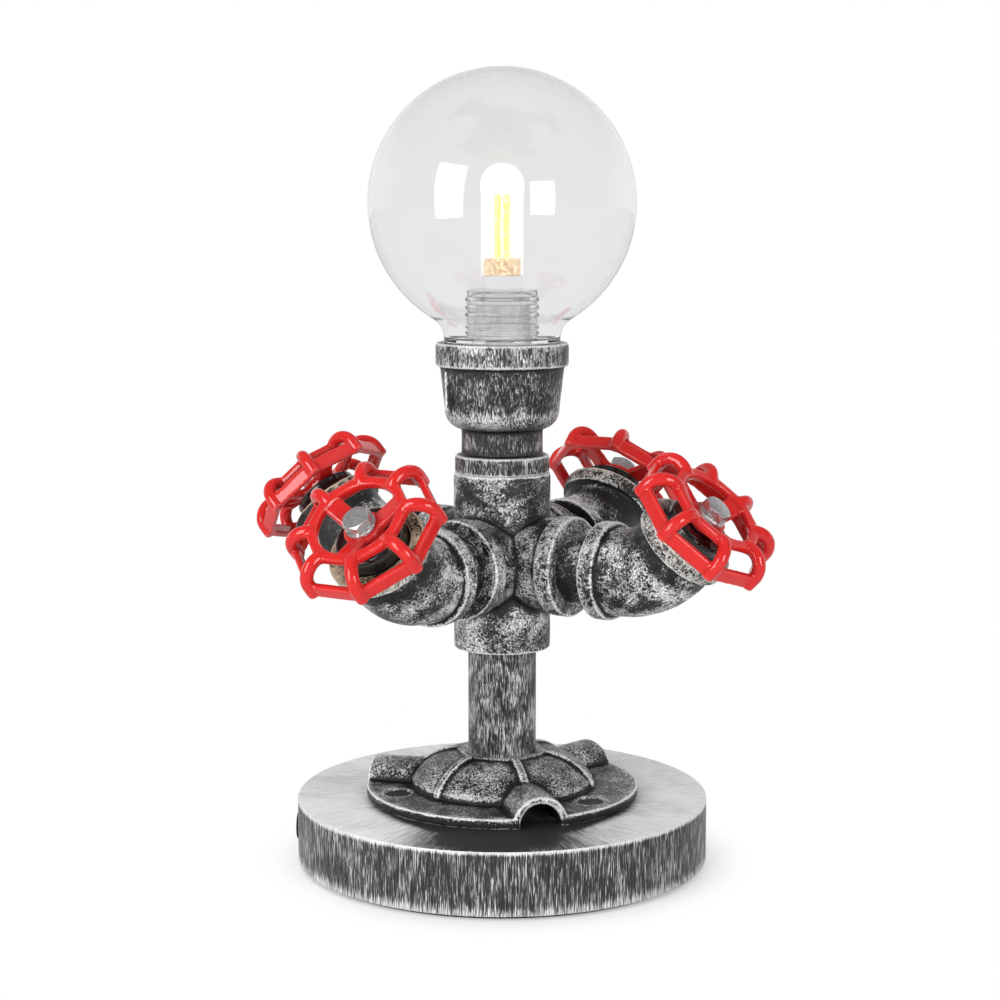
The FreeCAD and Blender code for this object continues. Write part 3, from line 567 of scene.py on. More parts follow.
@dataclass(frozen=True)
class EnamelFinish(Finish):
    """Thick gloss enamel, with painted shade in the corners and a painted highlight on the edges.
    """

    body: Colour
    deep: Colour
    edge: Colour
    grain: float = 120.0
    roughness: float = 0.07
    roughness_range: float = 0.02
    depth: float = 0.16

    def wire(self, w: Wiring, shader: Node) -> None:
        """Wires the enamel, its painted shade in the corners and its painted highlight on the
        edges.
        """
        relief = w.attribute("relief")
        made = MOTTLE.placed(
            w,
            Place=w.place(),
            Stretch=(1.0, 1.0, 1.0),
            Grain=self.grain,
            Low=self.body,
            High=self.body,
            Roughness=self.roughness,
            Roughness_Range=self.roughness_range,
        )
        # Painted shade darkens the corners toward the deep colour, and a painted highlight pales
        # the edges.
        hollow = w.remap(w.times(relief, -1.0), 0.05, 0.7, end=0.85)
        colour = w.mixed(hollow, made["Color"], self.deep)
        colour = w.mixed(w.remap(relief, 0.3, 1.0, end=0.6), colour, self.edge)
        w.fill(shader, Base_Color=colour, Roughness=made["Roughness"])
        add_bump(w, shader, made["Height"], self.depth)


@dataclass(frozen=True)
class GlassFinish(Finish):
    """Clear glass."""

    colour: Colour
    roughness: float
    ripple_depth: float = 0.003

    def wire(self, w: Wiring, shader: Node) -> None:
        """Wires the glass and its faint ripple."""
        ripple = w.noise(w.place(), 55.0, detail=1.0)
        duller = tuple(0.99 * part for part in self.colour)
        w.fill(
            shader,
            Base_Color=w.mixed(w.remap(ripple, 0.3, 0.7), self.colour, duller),
            Transmission_Weight=1.0,
            Roughness=self.roughness,
            IOR=GLASS_IOR,
        )
        add_bump(w, shader, ripple, self.ripple_depth)


@dataclass(frozen=True)
class GlowingGlass(Finish):
    """Thin clear glass of a lit bulb, with a bright haze that thickens upward."""

    low: float
    high: float
    haze: float
    glow: Colour = (1.0, 1.0, 0.98)
    faint_glow: Colour = (0.55, 0.55, 0.53)
    roughness: float = 0.02
    ripple_depth: float = 0.05

    def wire(self, w: Wiring, shader: Node) -> None:
        """Wires the glass and the haze in it."""
        place = w.place()
        ripple = w.noise(w.scaled(place, (1.0, 1.0, 2.2)), 260.0, detail=1.0)
        rise = w.remap(w.split(place)["Z"], self.low * MM, self.high * MM)
        uneven = w.maths("MULTIPLY_ADD", ripple, 0.25, self.haze - 0.12)
        cover = w.maths("MAXIMUM", rise, uneven)
        w.fill(
            shader,
            Base_Color=w.mixed(ripple, (0.99, 0.99, 0.99), (0.96, 0.96, 0.96)),
            Transmission_Weight=1.0,
            Roughness=self.roughness,
            IOR=GLASS_IOR,
            Emission_Color=w.mixed(cover, self.faint_glow, self.glow),
            Emission_Strength=1.0,
            Alpha=cover,
        )
        add_bump(w, shader, ripple, self.ripple_depth)


@dataclass(frozen=True)
class LitFinish(Finish):
    """A glowing strip with paler dots along it: the lit phosphor strips, and the amber driver
    ring, whose glow is painted light.
    """

    colour: Colour
    hot: Colour
    strength: float
    grain: float = 420.0
    from_dots: float = 0.42
    dot_ease: float = 0.2
    unlit_share: float = 0.3
    roughness: float = 0.6

    def wire(self, w: Wiring, shader: Node) -> None:
        """Wires the strip and its dots."""
        dots = w.noise(w.place(), self.grain, detail=1.0)
        hot = w.remap(dots, self.from_dots, self.from_dots + self.dot_ease)
        unlit = tuple(self.unlit_share * part for part in self.colour)
        w.fill(
            shader,
            Base_Color=w.mixed(dots, (0.0, 0.0, 0.0), unlit),
            Emission_Color=w.mixed(hot, self.colour, self.hot),
            Emission_Strength=self.strength,
            Roughness=self.roughness,
        )


@dataclass(frozen=True)
class FloorFinish(Finish):
    """Pale matt floor that keeps a shadow near the lamp and is plain white farther out."""

    low: Colour
    high: Colour
    white_from: float = 67.0
    white_to: float = 102.0
    mirrored_white: float = 0.6

    def wire(self, w: Wiring, shader: Node) -> None:
        """Wires the pale surface and the white that takes over from it."""
        place = w.place()
        colour = w.mixed(w.noise(place, 30.0), self.low, self.high)
        w.fill(shader, Base_Color=colour, Roughness=0.9, Specular_IOR_Level=0.0)
        away = w.node("VectorMath", operation="LENGTH")
        w.feed(away.inputs[0], place)
        rays = w.node("LightPath").outputs
        seen = w.plus(rays["Is Camera Ray"], rays["Is Glossy Ray"])
        seen = w.plus(seen, rays["Is Transmission Ray"], clamp=True)
        far = w.remap(away.outputs["Value"], self.white_from * MM, self.white_to * MM)
        mirrored = w.minus(rays["Is Glossy Ray"], rays["Is Transmission Ray"], clamp=True)
        glow = w.node("Emission")
        w.fill(glow, Strength=w.blended(mirrored, 1.0, self.mirrored_white))
        blend = w.node("MixShader")
        sources = (w.times(seen, far), shader.outputs[0], glow.outputs[0])
        for socket, source in zip(blend.inputs, sources):
            w.feed(socket, source)
        w.fill(w.tree.nodes["Material Output"], Surface=blend.outputs[0])


CASTING = AntiqueFinish("antique_casting")
ELBOW = AntiqueFinish(
    "antique_elbow", bite=1.8, coverage=0.4, veins=0.95, patchiness=3.2, softness=0.34,
    depth=0.5,
)
# Back elbows: a darker copy of the elbow finish as painted shade, with strong painted light from
# above on faces that point up.
SHADED_BACK_ELBOW = AntiqueFinish("dark_elbow", coverage=-0.55, top_light=1.25)
# The flange's strong shelter darkens the panels beside the ribs, partly as painted shade, and its
# band is painted shade on the plate's side toward its foot on the base.
FLANGE = AntiqueFinish(
    "antique_flange", grain_scale=1500.0, bite=3.6, veins=1.0, patchiness=1.7, softness=0.22,
    top_light=0.0, coverage=0.2, edge=2.9, shelter=2.2, rubs_and_shades=(BandRubAndShade(26.2, 4.0, -2.2),),
)
REDUCER = AntiqueFinish(
    "antique_reducer", grain=Grain.SHORT_UPRIGHT, grain_scale=1700.0, bite=2.4, patchiness=1.7,
    coverage=0.14, softness=0.45, edge=1.3, silver=236.0,
    rubs_and_shades=(BandRubAndShade(178.0, 5.0, 0.35), BandRubAndShade(201.0, 8.0, 0.1)),
)
PIPE = AntiqueFinish(
    "brushed_pipe", grain=Grain.SCRATCHED, bite=3.2, grain_scale=2200.0, coverage=0.34,
    veins=0.35, patchiness=1.9, softness=0.35, silver=228.0,
)
NIPPLE = AntiqueFinish("dark_nipple", coverage=0.15)
BASE_SIDE = AntiqueFinish(
    "brushed_base_side", grain=Grain.UPRIGHT, bite=4.2, grain_scale=2500.0, patch_scale=60.0,
    patchiness=0.8, coverage=0.2, veins=0.15, softness=0.25, dark=28.0, dark_high=58.0,
    silver=240.0, silver_low=118.0, rubs_and_shades=(BandRubAndShade(1.5, 5.0, 0.7), BandRubAndShade(26.2, 2.2, 1.4)),
)
BASE_TOP = AntiqueFinish(
    "brushed_base_top", grain=Grain.RADIAL, grain_scale=1300.0, bite=1.7, coverage=0.9,
    veins=0.0, patchiness=1.2, patch_scale=40.0, softness=0.9, dark=42.0, dark_high=90.0,
    silver=226.0, silver_low=212.0, depth=0.05, specular=0.25, sheen=0.2, matte=0.25,
    # Painted shade: a wide patch on the top in front of the flange, and a narrow band along the
    # flange's front edge.
    rubs_and_shades=(
        BandRubAndShade(0.0, 50.0, -2.4, outward=True, ahead=60.0),
        BandRubAndShade(46.0, 10.0, -2.2, outward=True, ahead=8.0),
    ),
)
# Body red, then the painted shade for the corners and the painted highlight for the edges.
ENAMEL = EnamelFinish("red_enamel", tint(188, 31, 29), tint(80, 3, 5), tint(232, 104, 100))
PLUG = PlainFinish("gloss_black_plug", grey(14), grey(24), roughness=0.18, coat=0.5, depth=0.02)
ZINC = PlainFinish("bright_zinc", grey(178), grey(222), roughness=0.3, metallic=0.9, grain=900.0)
BLACKENED = PlainFinish("blackened_steel", grey(26), grey(52), roughness=0.45, metallic=0.7)
BRASS = PlainFinish(
    "plain_brass", tint(186, 146, 74), tint(214, 178, 104), roughness=0.3, metallic=1.0
)
SLEEVE = PlainFinish("grey_sleeve", grey(180), grey(215), roughness=0.35, metallic=0.4)
CERAMIC = PlainFinish("white_ceramic", grey(214), grey(230), roughness=0.5)
FELT = PlainFinish(
    "black_felt", grey(16), grey(38), roughness=0.95, sheen=0.4, grain=1800.0, depth=0.25
)
RUBBER = PlainFinish("black_rubber", grey(18), grey(30), roughness=0.7, grain=900.0)
SHEET = PlainFinish("black_sheet", grey(22), grey(36), roughness=0.5, grain=700.0)
MOULDING = PlainFinish("white_moulding", grey(206), grey(226), roughness=0.45)
SHEATH = PlainFinish("black_sheath", grey(20), grey(32), roughness=0.5, stretch=(1.0, 1.0, 0.2))
# The amber driver ring's glow is painted light.
AMBER = LitFinish("amber_resin", tint(206, 150, 70), tint(255, 232, 168), 0.85, grain=900.0)
GLOBE_GLASS = GlassFinish("globe_glass", (0.905, 0.905, 0.907), roughness=0.015)
BULB_GLASS = GlassFinish("bulb_glass", (0.97, 0.97, 0.97), roughness=0.05)
CAPSULE_GLASS = GlowingGlass("lit_capsule_glass", 262.0, 267.0, haze=0.16)
FLOOR = FloorFinish("pale_floor", grey(238), grey(242))
FILAMENT = LitFinish("lit_filament", tint(252, 238, 96), tint(255, 254, 214), 1.0, from_dots=0.54)


# ---- meshes


Corner = tuple[float, ...]
# Segments in a rounded corner, and the most of an edge that it takes.
CORNER_STEPS, EDGE_SHARE = 6, 0.49
# Points closer than the first are welded, and faces smaller than the second dropped.
WELD, EMPTY = 0.002, 0.001
# For each stored measure, how far around it looks and the height that counts as 1.
MEASURES = (("relief", 0.7, 0.14), ("hollow", 2.2, 0.75))


def eased(outline: Sequence[Corner]) -> list[Point]:
    """Rounds the corners of a closed outline.

    Args:
        outline: Corners as (radius, height) or (radius, height, rounding).

    Returns:
        The points of the rounded outline.
    """
    points: list[Point] = []
    for index, corner in enumerate(outline):
        here = Vector(corner[:2])
        if len(corner) == 2:
            points.append(tuple(here))
            continue
        before = Vector(outline[index - 1][:2]) - here
        after = Vector(outline[(index + 1) % len(outline)][:2]) - here
        half = before.angle(after) / 2
        shorter = min(before.length, after.length)
        reach = min(corner[2] / math.tan(half), shorter * EDGE_SHARE)
        start, end = (here + side.normalized() * reach for side in (before, after))
        for step in range(CORNER_STEPS + 1):
            share = step / CORNER_STEPS
            spot = start.lerp(here, share).lerp(here.lerp(end, share), share)
            points.append(tuple(spot))
    return points


def arc(
    centre: Point, radius: float, first: float, last: float, steps: int
) -> list[Corner]:
    """Gives points of an arc, with angles in degrees from the outward direction."""
    angles = np.radians(np.linspace(first, last, steps + 1))
    return [(centre[0] + radius * math.cos(a), centre[1] + radius * math.sin(a)) for a in angles]


def new_piece(name: str, data: bpy.types.ID) -> Piece:
    """Links a new object into the scene."""
    piece = bpy.data.objects.new(name, data)
    bpy.context.scene.collection.objects.link(piece)
    data.name = name
    return piece


def turned(name: str, profile: Sequence[Point], steps: int) -> Piece:
    """Turns a closed profile about the lamp's axis.

    Args:
        name: Name of the piece.
        profile: Points as (radius, height), in millimetres.
        steps: Segments around the axis.

    Returns:
        The piece.
    """
    points = np.array(profile) * MM
    angles = np.arange(steps) * (2 * math.pi / steps)
    ring = np.stack([np.cos(angles), np.sin(angles)], axis=1)
    around = ring[:, None, :] * points[None, :, :1]
    heights = np.broadcast_to(points[None, :, 1:], (steps, len(points), 1))
    corners = np.concatenate([around, heights], axis=2).reshape(-1, 3)
    count = len(points)
    faces = []
    for turn in range(steps):
        here, there = turn * count, (turn + 1) % steps * count
        for spot in range(count):
            after = (spot + 1) % count
            faces.append((here + spot, there + spot, there + after, here + after))
    mesh = bpy.data.meshes.new(name)
    mesh.from_pydata(corners.tolist(), [], faces)
    tidy_mesh(mesh)
    mesh.shade_smooth()
    return new_piece(name, mesh)


def tidy_mesh(mesh: Mesh) -> None:
    """Welds doubled corners, drops empty faces and turns the faces outward."""
    work = bmesh.new()
    work.from_mesh(mesh)
    bmesh.ops.remove_doubles(work, verts=work.verts, dist=WELD * MM)
    bmesh.ops.dissolve_degenerate(work, edges=work.edges, dist=EMPTY * MM)
    bmesh.ops.recalc_face_normals(work, faces=work.faces)
    work.to_mesh(mesh)
    work.free()


def applied(piece: Piece) -> Piece:
    """Applies a piece's modifiers to its mesh."""
    ready = piece.evaluated_get(bpy.context.evaluated_depsgraph_get())
    mesh = bpy.data.meshes.new_from_object(ready)
    piece.modifiers.clear()
    old = piece.data
    piece.data = mesh
    bpy.data.meshes.remove(old)
    mesh.name = piece.name
    return piece


def copied(node: str, name: str) -> Piece:
    """Copies a CAD node's mesh into a new piece, with its corners welded."""
    mesh = frame["nodes"][node].data.copy()
    mesh.materials.clear()
    if mesh.has_custom_normals:
        mesh.attributes.remove(mesh.attributes["custom_normal"])
    tidy_mesh(mesh)
    return new_piece(name, mesh)


def read_points(mesh: Mesh, what: str) -> np.ndarray:
    """Reads the co or the normal of each of a mesh's points."""
    values = np.empty(len(mesh.vertices) * 3)
    mesh.vertices.foreach_get(what, values)
    return values.reshape(-1, 3)


def add_smoothing(piece: Piece, rounds: int, factor: float = 0.5) -> None:
    """Adds rounds of smoothing to a piece."""
    smooth = piece.modifiers.new("smooth", "SMOOTH")
    smooth.factor, smooth.iterations = factor, rounds


def relaxed(piece: Piece, rounds: int) -> np.ndarray:
    """Gives a piece's points after rounds of smoothing, and leaves the piece as it is."""
    add_smoothing(piece, rounds)
    ready = piece.evaluated_get(bpy.context.evaluated_depsgraph_get())
    points = read_points(ready.data, "co")
    piece.modifiers.clear()
    return points


def store(mesh: Mesh, name: str, values: np.ndarray) -> None:
    """Stores a number from -1 to 1 on each point of a mesh."""
    layer = mesh.attributes.new(name, "FLOAT", "POINT")
    layer.data.foreach_set("value", np.clip(values, -1, 1).astype(np.float32))


def store_relief(piece: Piece, spacing: float) -> None:
    """Stores how far each point stands out from, or lies under, what is around it.

    Args:
        piece: A piece with an even, dense mesh.
        spacing: Distance between the mesh's points, in millimetres.
    """
    spots, normals = read_points(piece.data, "co"), read_points(piece.data, "normal")
    for name, reach, full in MEASURES:
        rounds = max(1, round((reach / spacing) ** 2 * 4))
        proud = np.einsum("ij,ij->i", normals, spots - relaxed(piece, rounds)) / MM
        store(piece.data, name, proud / full)


@dataclass(frozen=True)
class Foundry:
    """Turns a crisp CAD solid into a cast one, with soft corners and an uneven skin.

    Attributes:
        voxel: Size of the mesh's faces.
        ease: Rounds of smoothing.
        swell: Growth before the smoothing.
        waver: Depth of the uneven skin.
        wave: Length of its waves.
    """

    voxel: float = 0.55
    ease: int = 10
    swell: float = 0.1
    waver: float = 0.06
    wave: float = 6.0

    def cast(self, node: str, name: str) -> Piece:
        """Casts a piece that stands for a CAD node.

        Args:
            node: The CAD node.
            name: Name of the piece.

        Returns:
            The piece.
        """
        piece = copied(node, name)
        voxel = self.voxel * 1.0
        remesh = piece.modifiers.new("skin", "REMESH")
        remesh.mode = "VOXEL"
        remesh.voxel_size = voxel * MM
        grow = piece.modifiers.new("swell", "DISPLACE")
        grow.strength = self.swell * MM
        grow.mid_level = 0.0
        add_smoothing(piece, self.ease)
        applied(piece)
        mesh = piece.data
        spots, normals = read_points(mesh, "co"), read_points(mesh, "normal")
        scaled = (spots / (self.wave * MM)).tolist()
        waves = np.array([noise.noise(Vector(spot)) for spot in scaled])
        spots += normals * (waves * self.waver * MM)[:, None]
        spots = np.clip(spots, *np.array(CAD_BOX))
        mesh.vertices.foreach_set("co", spots.ravel())
        mesh.update()
        mesh.shade_smooth()
        store_relief(piece, voxel)
        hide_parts(node)
        return piece


def bevelled(node: str, name: str, width: float, sharp: float = 28.0) -> Piece:
    """Copies a CAD node with its sharp edges broken.

    Args:
        node: The CAD node.
        name: Name of the piece.
        width: Width of the broken edge.
        sharp: Angle from which an edge counts as sharp, in degrees.

    Returns:
        The piece.
    """
    piece = copied(node, name)
    bevel = piece.modifiers.new("edges", "BEVEL")
    bevel.width = width * MM
    bevel.segments = 2
    bevel.limit_method = "ANGLE"
    bevel.angle_limit = math.radians(sharp)
    bevel.harden_normals = True
    applied(piece)
    piece.data.shade_smooth()
    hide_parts(node)
    return piece


def dress(piece: Piece, *finishes: Finish) -> None:
    """Puts finishes on a piece in place of the materials it has."""
    piece.data.materials.clear()
    for finish in finishes:
        piece.data.materials.append(finish.material())


# ---- sub-assemblies


@dataclass
class Group:
    """A sub-assembly, which builds its pieces from its own sizes."""

    def build(self) -> None:
        """Builds and dresses the sub-assembly."""
        raise NotImplementedError

    def dress_nodes(self, finish: Finish, *nodes: str) -> None:
        """Dresses CAD nodes that are shown as they are."""
        for node in nodes:
            dress(frame["nodes"][node], finish)
            log.info("%s: CAD node, %s", node, finish.name)

    def hang(self, piece: Piece, body: str, slot: str, *finishes: Finish) -> None:
        """Dresses a new piece and hangs it on its body.

        Args:
            piece: The piece.
            body: The body that carries it.
            slot: The record's material slot; not used.
            *finishes: Its finishes.
        """
        dress(piece, *finishes)
        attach(piece, body)
        log.info("%s: %d faces on %s", piece.name, len(piece.data.polygons), body)


@dataclass
class BaseGroup(Group):
    """Round brushed base with its felt, cover, wiring and cable inlet."""

    radius: float = 81.5
    low: float = 1.5
    high: float = 26.2
    chamber_radius: float = 36.0
    chamber_top: float = 15.5
    cover_radius: float = 42.3
    cover_top: float = 3.0
    wiring_hole: float = 7.0
    edge: float = 0.7
    top_facing: float = 0.7
    crease: float = 40.0
    steps: int = 288

    def build(self) -> None:
        """Builds and dresses the base."""
        profile = eased(
            [
                (self.cover_radius, self.low, 0.3),
                (self.radius, self.low, self.edge),
                (self.radius, self.high, self.edge),
                (self.wiring_hole, self.high),
                (self.wiring_hole, self.chamber_top),
                (self.chamber_radius, self.chamber_top),
                (self.chamber_radius, self.cover_top),
                (self.cover_radius, self.cover_top),
            ]
        )
        disc = turned("round_base", profile, self.steps)
        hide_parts("base_disc")
        self.hang(disc, "frame", "base_wood", BASE_SIDE, BASE_TOP)
        top = (self.high - self.edge / 2) * MM
        for face in disc.data.polygons:
            face.material_index = int(face.normal.z > self.top_facing and face.center.z > top)
        disc.data.set_sharp_from_angle(angle=math.radians(self.crease))
        self.dress_hidden()

    def dress_hidden(self) -> None:
        """Dresses what is under and inside the base."""
        grommet = bevelled("cable_grommet", "inlet_grommet", 0.25)
        self.hang(grommet, "frame", "grommet_rubber", RUBBER)
        for finish, node in (
            (FELT, "felt_pad"),
            (SHEET, "bottom_cover"),
            (ZINC, "cover_screws"),
            (MOULDING, "terminal_block"),
            (BRASS, "terminal_screws"),
            (SHEATH, "internal_lead"),
        ):
            self.dress_nodes(finish, node)


@dataclass
class Column(Group):
    """Flange, riser pipe, six-way cross and bell reducer."""

    flange_cast: Foundry = Foundry(voxel=0.52, ease=9, swell=0.05, waver=0.12, wave=5.0)
    cross_cast: Foundry = Foundry(ease=12, waver=0.1)
    reducer_cast: Foundry = Foundry(voxel=0.5, waver=0.05)

    def build(self) -> None:
        """Builds and dresses the column."""
        for foundry, node, name, slot, finish in (
            (self.flange_cast, "floor_flange", "cast_flange", "flange_iron", FLANGE),
            (self.cross_cast, "six_way_cross", "cast_cross", "cast_iron", CASTING),
            (self.reducer_cast, "bell_reducer", "cast_reducer", "reducer_iron", REDUCER),
        ):
            self.hang(foundry.cast(node, name), "frame", slot, finish)
        self.dress_nodes(PIPE, "riser_pipe", "column_nipple")
        self.dress_nodes(BLACKENED, "flange_screws")


@dataclass
class Arm(Group):
    """Nipple, elbow, plug and handwheel of one arm."""

    name: str
    elbow_cast: Foundry = Foundry(voxel=0.5, ease=12, waver=0.14, wave=5.0)
    wheel_cast: Foundry = Foundry(voxel=0.4, ease=18, swell=0.25, waver=0.05)
    gilt_depth: float = 7.0
    # Painted shade on the neck behind the mouth's collar: where it is deepest, how far it reaches
    # and how much silver it takes.
    collar_shade_depth: float = 10.5
    collar_shade_reach: float = 4.5
    bare: float = 0.8
    gilt: float = 0.7
    right_gilt: float = 0.245

    def build(self) -> None:
        """Builds and dresses the arm."""
        elbow = self.elbow_cast.cast(f"elbow_{self.name}", f"cast_elbow_{self.name}")
        self.gild_and_shade(elbow.data)
        finish = SHADED_BACK_ELBOW if "back" in self.name else ELBOW
        self.hang(elbow, "frame", "elbow_iron", finish)
        wheel = self.wheel_cast.cast(f"handwheel_{self.name}", f"red_wheel_{self.name}")
        self.hang(wheel, f"wheel_{self.name}", "red_enamel", ENAMEL)
        plug = bevelled(f"mouth_plug_{self.name}", f"black_plug_{self.name}", 0.3)
        self.hang(plug, "frame", "plug_black", PLUG)
        self.dress_nodes(NIPPLE, f"nipple_{self.name}")

    def gild_and_shade(self, mesh: Mesh) -> None:
        """Marks the rim at an elbow's mouth, which turns to gold, and paints shade on the neck
        under it.
        """
        joints = frame["record"]["behaviour"]["joints"]
        wheel = next(joint for joint in joints if joint["child"] == f"wheel_{self.name}")
        depth = (read_points(mesh, "co") - np.array(wheel["pos_m"])) @ np.array(wheel["axis"]) / MM
        gilt = self.gilt if "left" in self.name else self.right_gilt
        store(mesh, "gilt", np.clip((depth + self.gilt_depth) / self.gilt_depth, 0, 1) * gilt)
        bare = 1 - np.abs(depth + self.collar_shade_depth) / self.collar_shade_reach
        store(mesh, "bare", np.clip(bare, 0, 1) * self.bare)


@dataclass
class Fasteners(Group):
    """Bolts, washers and nuts of the handwheels."""

    break_width: float = 0.22

    def build(self) -> None:
        """Builds and dresses the fasteners."""
        for kind in ("bolts", "washers"):
            piece = bevelled(f"wheel_{kind}", f"zinc_{kind}", self.break_width)
            self.hang(piece, "frame", "zinc", ZINC)
        self.dress_nodes(ZINC, "wheel_nuts")


@dataclass
class Holder(Group):
    """Lamp holder in the top of the reducer."""

    def build(self) -> None:
        """Builds and dresses the holder."""
        sleeve = bevelled("holder_sleeve", "threaded_sleeve", 0.12, sharp=20.0)
        self.hang(sleeve, "frame", "sleeve_aluminium", SLEEVE)
        self.dress_nodes(ZINC, "holder_plate")
        self.dress_nodes(BRASS, "holder_stem", "stem_nut", "holder_contacts")
        self.dress_nodes(CERAMIC, "holder_core")


@dataclass
class Globe(Group):
    """Blown glass globe with a flattened foot and an inner neck."""

    seat: float = 206.2
    radius: float = 52.0
    wall: float = 1.6
    centre: float = 53.6
    waist: float = 28.0
    foot: float = 22.7
    lip: float = 1.4
    throat_handle: float = 4.0
    throat_steps: int = 14
    neck_bore: float = 12.25
    neck_wall: float = 1.5
    neck_height: float = 20.2
    thread_turns: int = 5
    thread_pitch: float = 3.0
    thread_depth: float = 0.8
    thread_lead: float = 1.4
    thread_steps: int = 12
    steps: int = 288

    def build(self) -> None:
        """Builds and dresses the globe."""
        centre = (0.0, self.seat + self.centre)
        inner = self.radius - self.wall
        outer_start = -math.degrees(math.acos(self.waist / self.radius))
        inner_start = -math.degrees(math.acos((self.waist - self.wall) / inner))
        inner_top = self.seat + self.neck_height
        neck_outer = self.neck_bore + self.neck_wall
        profile = eased(
            [
                (self.neck_bore, self.seat, 0.4),
                (self.foot, self.seat, 0.6),
                *self.throat(self.foot, self.radius, outer_start),
                *arc(centre, self.radius, outer_start, 90.0, self.steps // 3),
                *arc(centre, inner, 90.0, inner_start, self.steps // 3),
                *reversed(self.throat(self.foot - self.wall, inner, inner_start)),
                (self.foot - self.wall, self.seat + self.wall, 0.4),
                (neck_outer, self.seat + self.wall, 0.6),
                *self.threads(neck_outer),
                (neck_outer, inner_top, 0.5),
                (self.neck_bore, inner_top, 0.5),
            ]
        )
        piece = turned("clear_globe", profile, self.steps)
        piece.visible_shadow = False
        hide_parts("glass_globe")
        self.hang(piece, "globe", "globe_glass", GLOBE_GLASS)

    def throat(self, foot: float, radius: float, start: float) -> list[Point]:
        """Gives the curve from the foot up into the ball.

        Args:
            foot: Radius at the foot.
            radius: Radius of the ball.
            start: Angle at which the ball starts, in degrees.

        Returns:
            The points, without the ball's first.
        """
        turn = math.radians(start)
        low = Vector((foot, self.seat + self.lip))
        high = Vector((radius * math.cos(turn), self.seat + self.centre + radius * math.sin(turn)))
        after = low + Vector((0.0, self.throat_handle))
        before = high + Vector((math.sin(turn), -math.cos(turn))) * self.throat_handle
        points = geometry.interpolate_bezier(low, after, before, high, self.throat_steps)
        return [tuple(point) for point in points[:-1]]

    def threads(self, radius: float) -> list[Point]:
        """Gives the rounded rings of the pressed thread on the neck."""
        low = self.seat + self.wall + self.thread_lead
        points = []
        for step in range(self.thread_steps * self.thread_turns + 1):
            turns = step / self.thread_steps
            out = self.thread_depth * (1 - math.cos(math.tau * turns)) / 2
            points.append((radius + out, low + self.thread_pitch * turns))
        return points


@dataclass
class Bulb(Group):
    """Capsule bulb with lit strips."""

    low: float = 232.2
    high: float = 275.0
    radius: float = 8.3
    wall: float = 0.8
    strips: int = 4
    strip_bearing: float = 36.0
    strip_out: float = 2.6
    strip_deep: float = 1.0
    strip_wide: float = 2.6
    strip_low: float = 238.9
    strip_high: float = 263.1
    strip_edge: float = 0.3
    dome_steps: int = 20
    steps: int = 96

    def build(self) -> None:
        """Builds and dresses the bulb."""
        spring = (0.0, self.high - self.radius)
        profile = [(self.radius - self.wall, self.low), (self.radius, self.low)]
        profile += arc(spring, self.radius, 0.0, 90.0, self.dome_steps)
        profile += arc(spring, self.radius - self.wall, 90.0, 0.0, self.dome_steps)
        capsule = turned("lit_capsule", profile, self.steps)
        capsule.visible_shadow = False
        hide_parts("bulb_capsule")
        self.hang(capsule, "bulb", "bulb_glass", CAPSULE_GLASS)
        foot = bevelled("bulb_foot", "clear_bulb_foot", 0.3)
        self.hang(foot, "bulb", "bulb_glass", BULB_GLASS)
        driver = bevelled("bulb_driver_ring", "amber_ring", 0.3)
        self.hang(driver, "bulb", "driver_amber", AMBER)
        self.build_strips()
        self.dress_nodes(ZINC, "bulb_pins")

    def build_strips(self) -> None:
        """Builds the lit strips, which are rounded bars around the lamp's axis."""
        work = bmesh.new()
        middle = Vector((self.strip_out, 0, (self.strip_low + self.strip_high) / 2)) * MM
        size = Vector((self.strip_deep, self.strip_wide, self.strip_high - self.strip_low)) * MM
        bar = Matrix.Translation(middle) @ Matrix.Diagonal((*size, 1))
        for turn in range(self.strips):
            bearing = math.radians(self.strip_bearing + 360 / self.strips * turn)
            bmesh.ops.create_cube(work, matrix=Matrix.Rotation(bearing, 4, "Z") @ bar)
        edge = self.strip_edge * MM
        bmesh.ops.bevel(work, geom=work.edges[:], offset=edge, segments=2, affect="EDGES")
        mesh = bpy.data.meshes.new("lit_strips")
        work.to_mesh(mesh)
        work.free()
        strips = new_piece("lit_strips", mesh)
        mesh.shade_smooth()
        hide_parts("bulb_filaments")
        self.hang(strips, "bulb", "filament", FILAMENT)


# ---- studio


@dataclass(frozen=True)
class Softbox:
    """A rectangular studio lamp that faces the globe.

    Attributes:
        name: Its name.
        bearing: Angle from the camera's side towards the right, in degrees.
        height_angle: Angle above the level, in degrees.
        size: Width and height in metres.
        power: Power in watts.
        mirrored: Whether it shows in reflections.
        distance: Distance in metres.
    """

    name: str
    bearing: float
    height_angle: float
    size: Point
    power: float
    mirrored: bool = True
    distance: float = 1.2

    def build(self, aim: Vector) -> None:
        """Sets the lamp up, aimed at a point."""
        bearing, rise = math.radians(self.bearing), math.radians(self.height_angle)
        level = math.cos(rise)
        way = Vector((math.sin(bearing) * level, -math.cos(bearing) * level, math.sin(rise)))
        data = bpy.data.lights.new(self.name, "AREA")
        data.shape = "RECTANGLE"
        data.size, data.size_y = self.size
        data.energy = self.power
        lamp = new_piece(self.name, data)
        lamp.location = aim + way * self.distance
        lamp.visible_glossy = self.mirrored
        lamp.visible_transmission = False
        lamp.rotation_euler = way.to_track_quat("Z", "Y").to_euler()


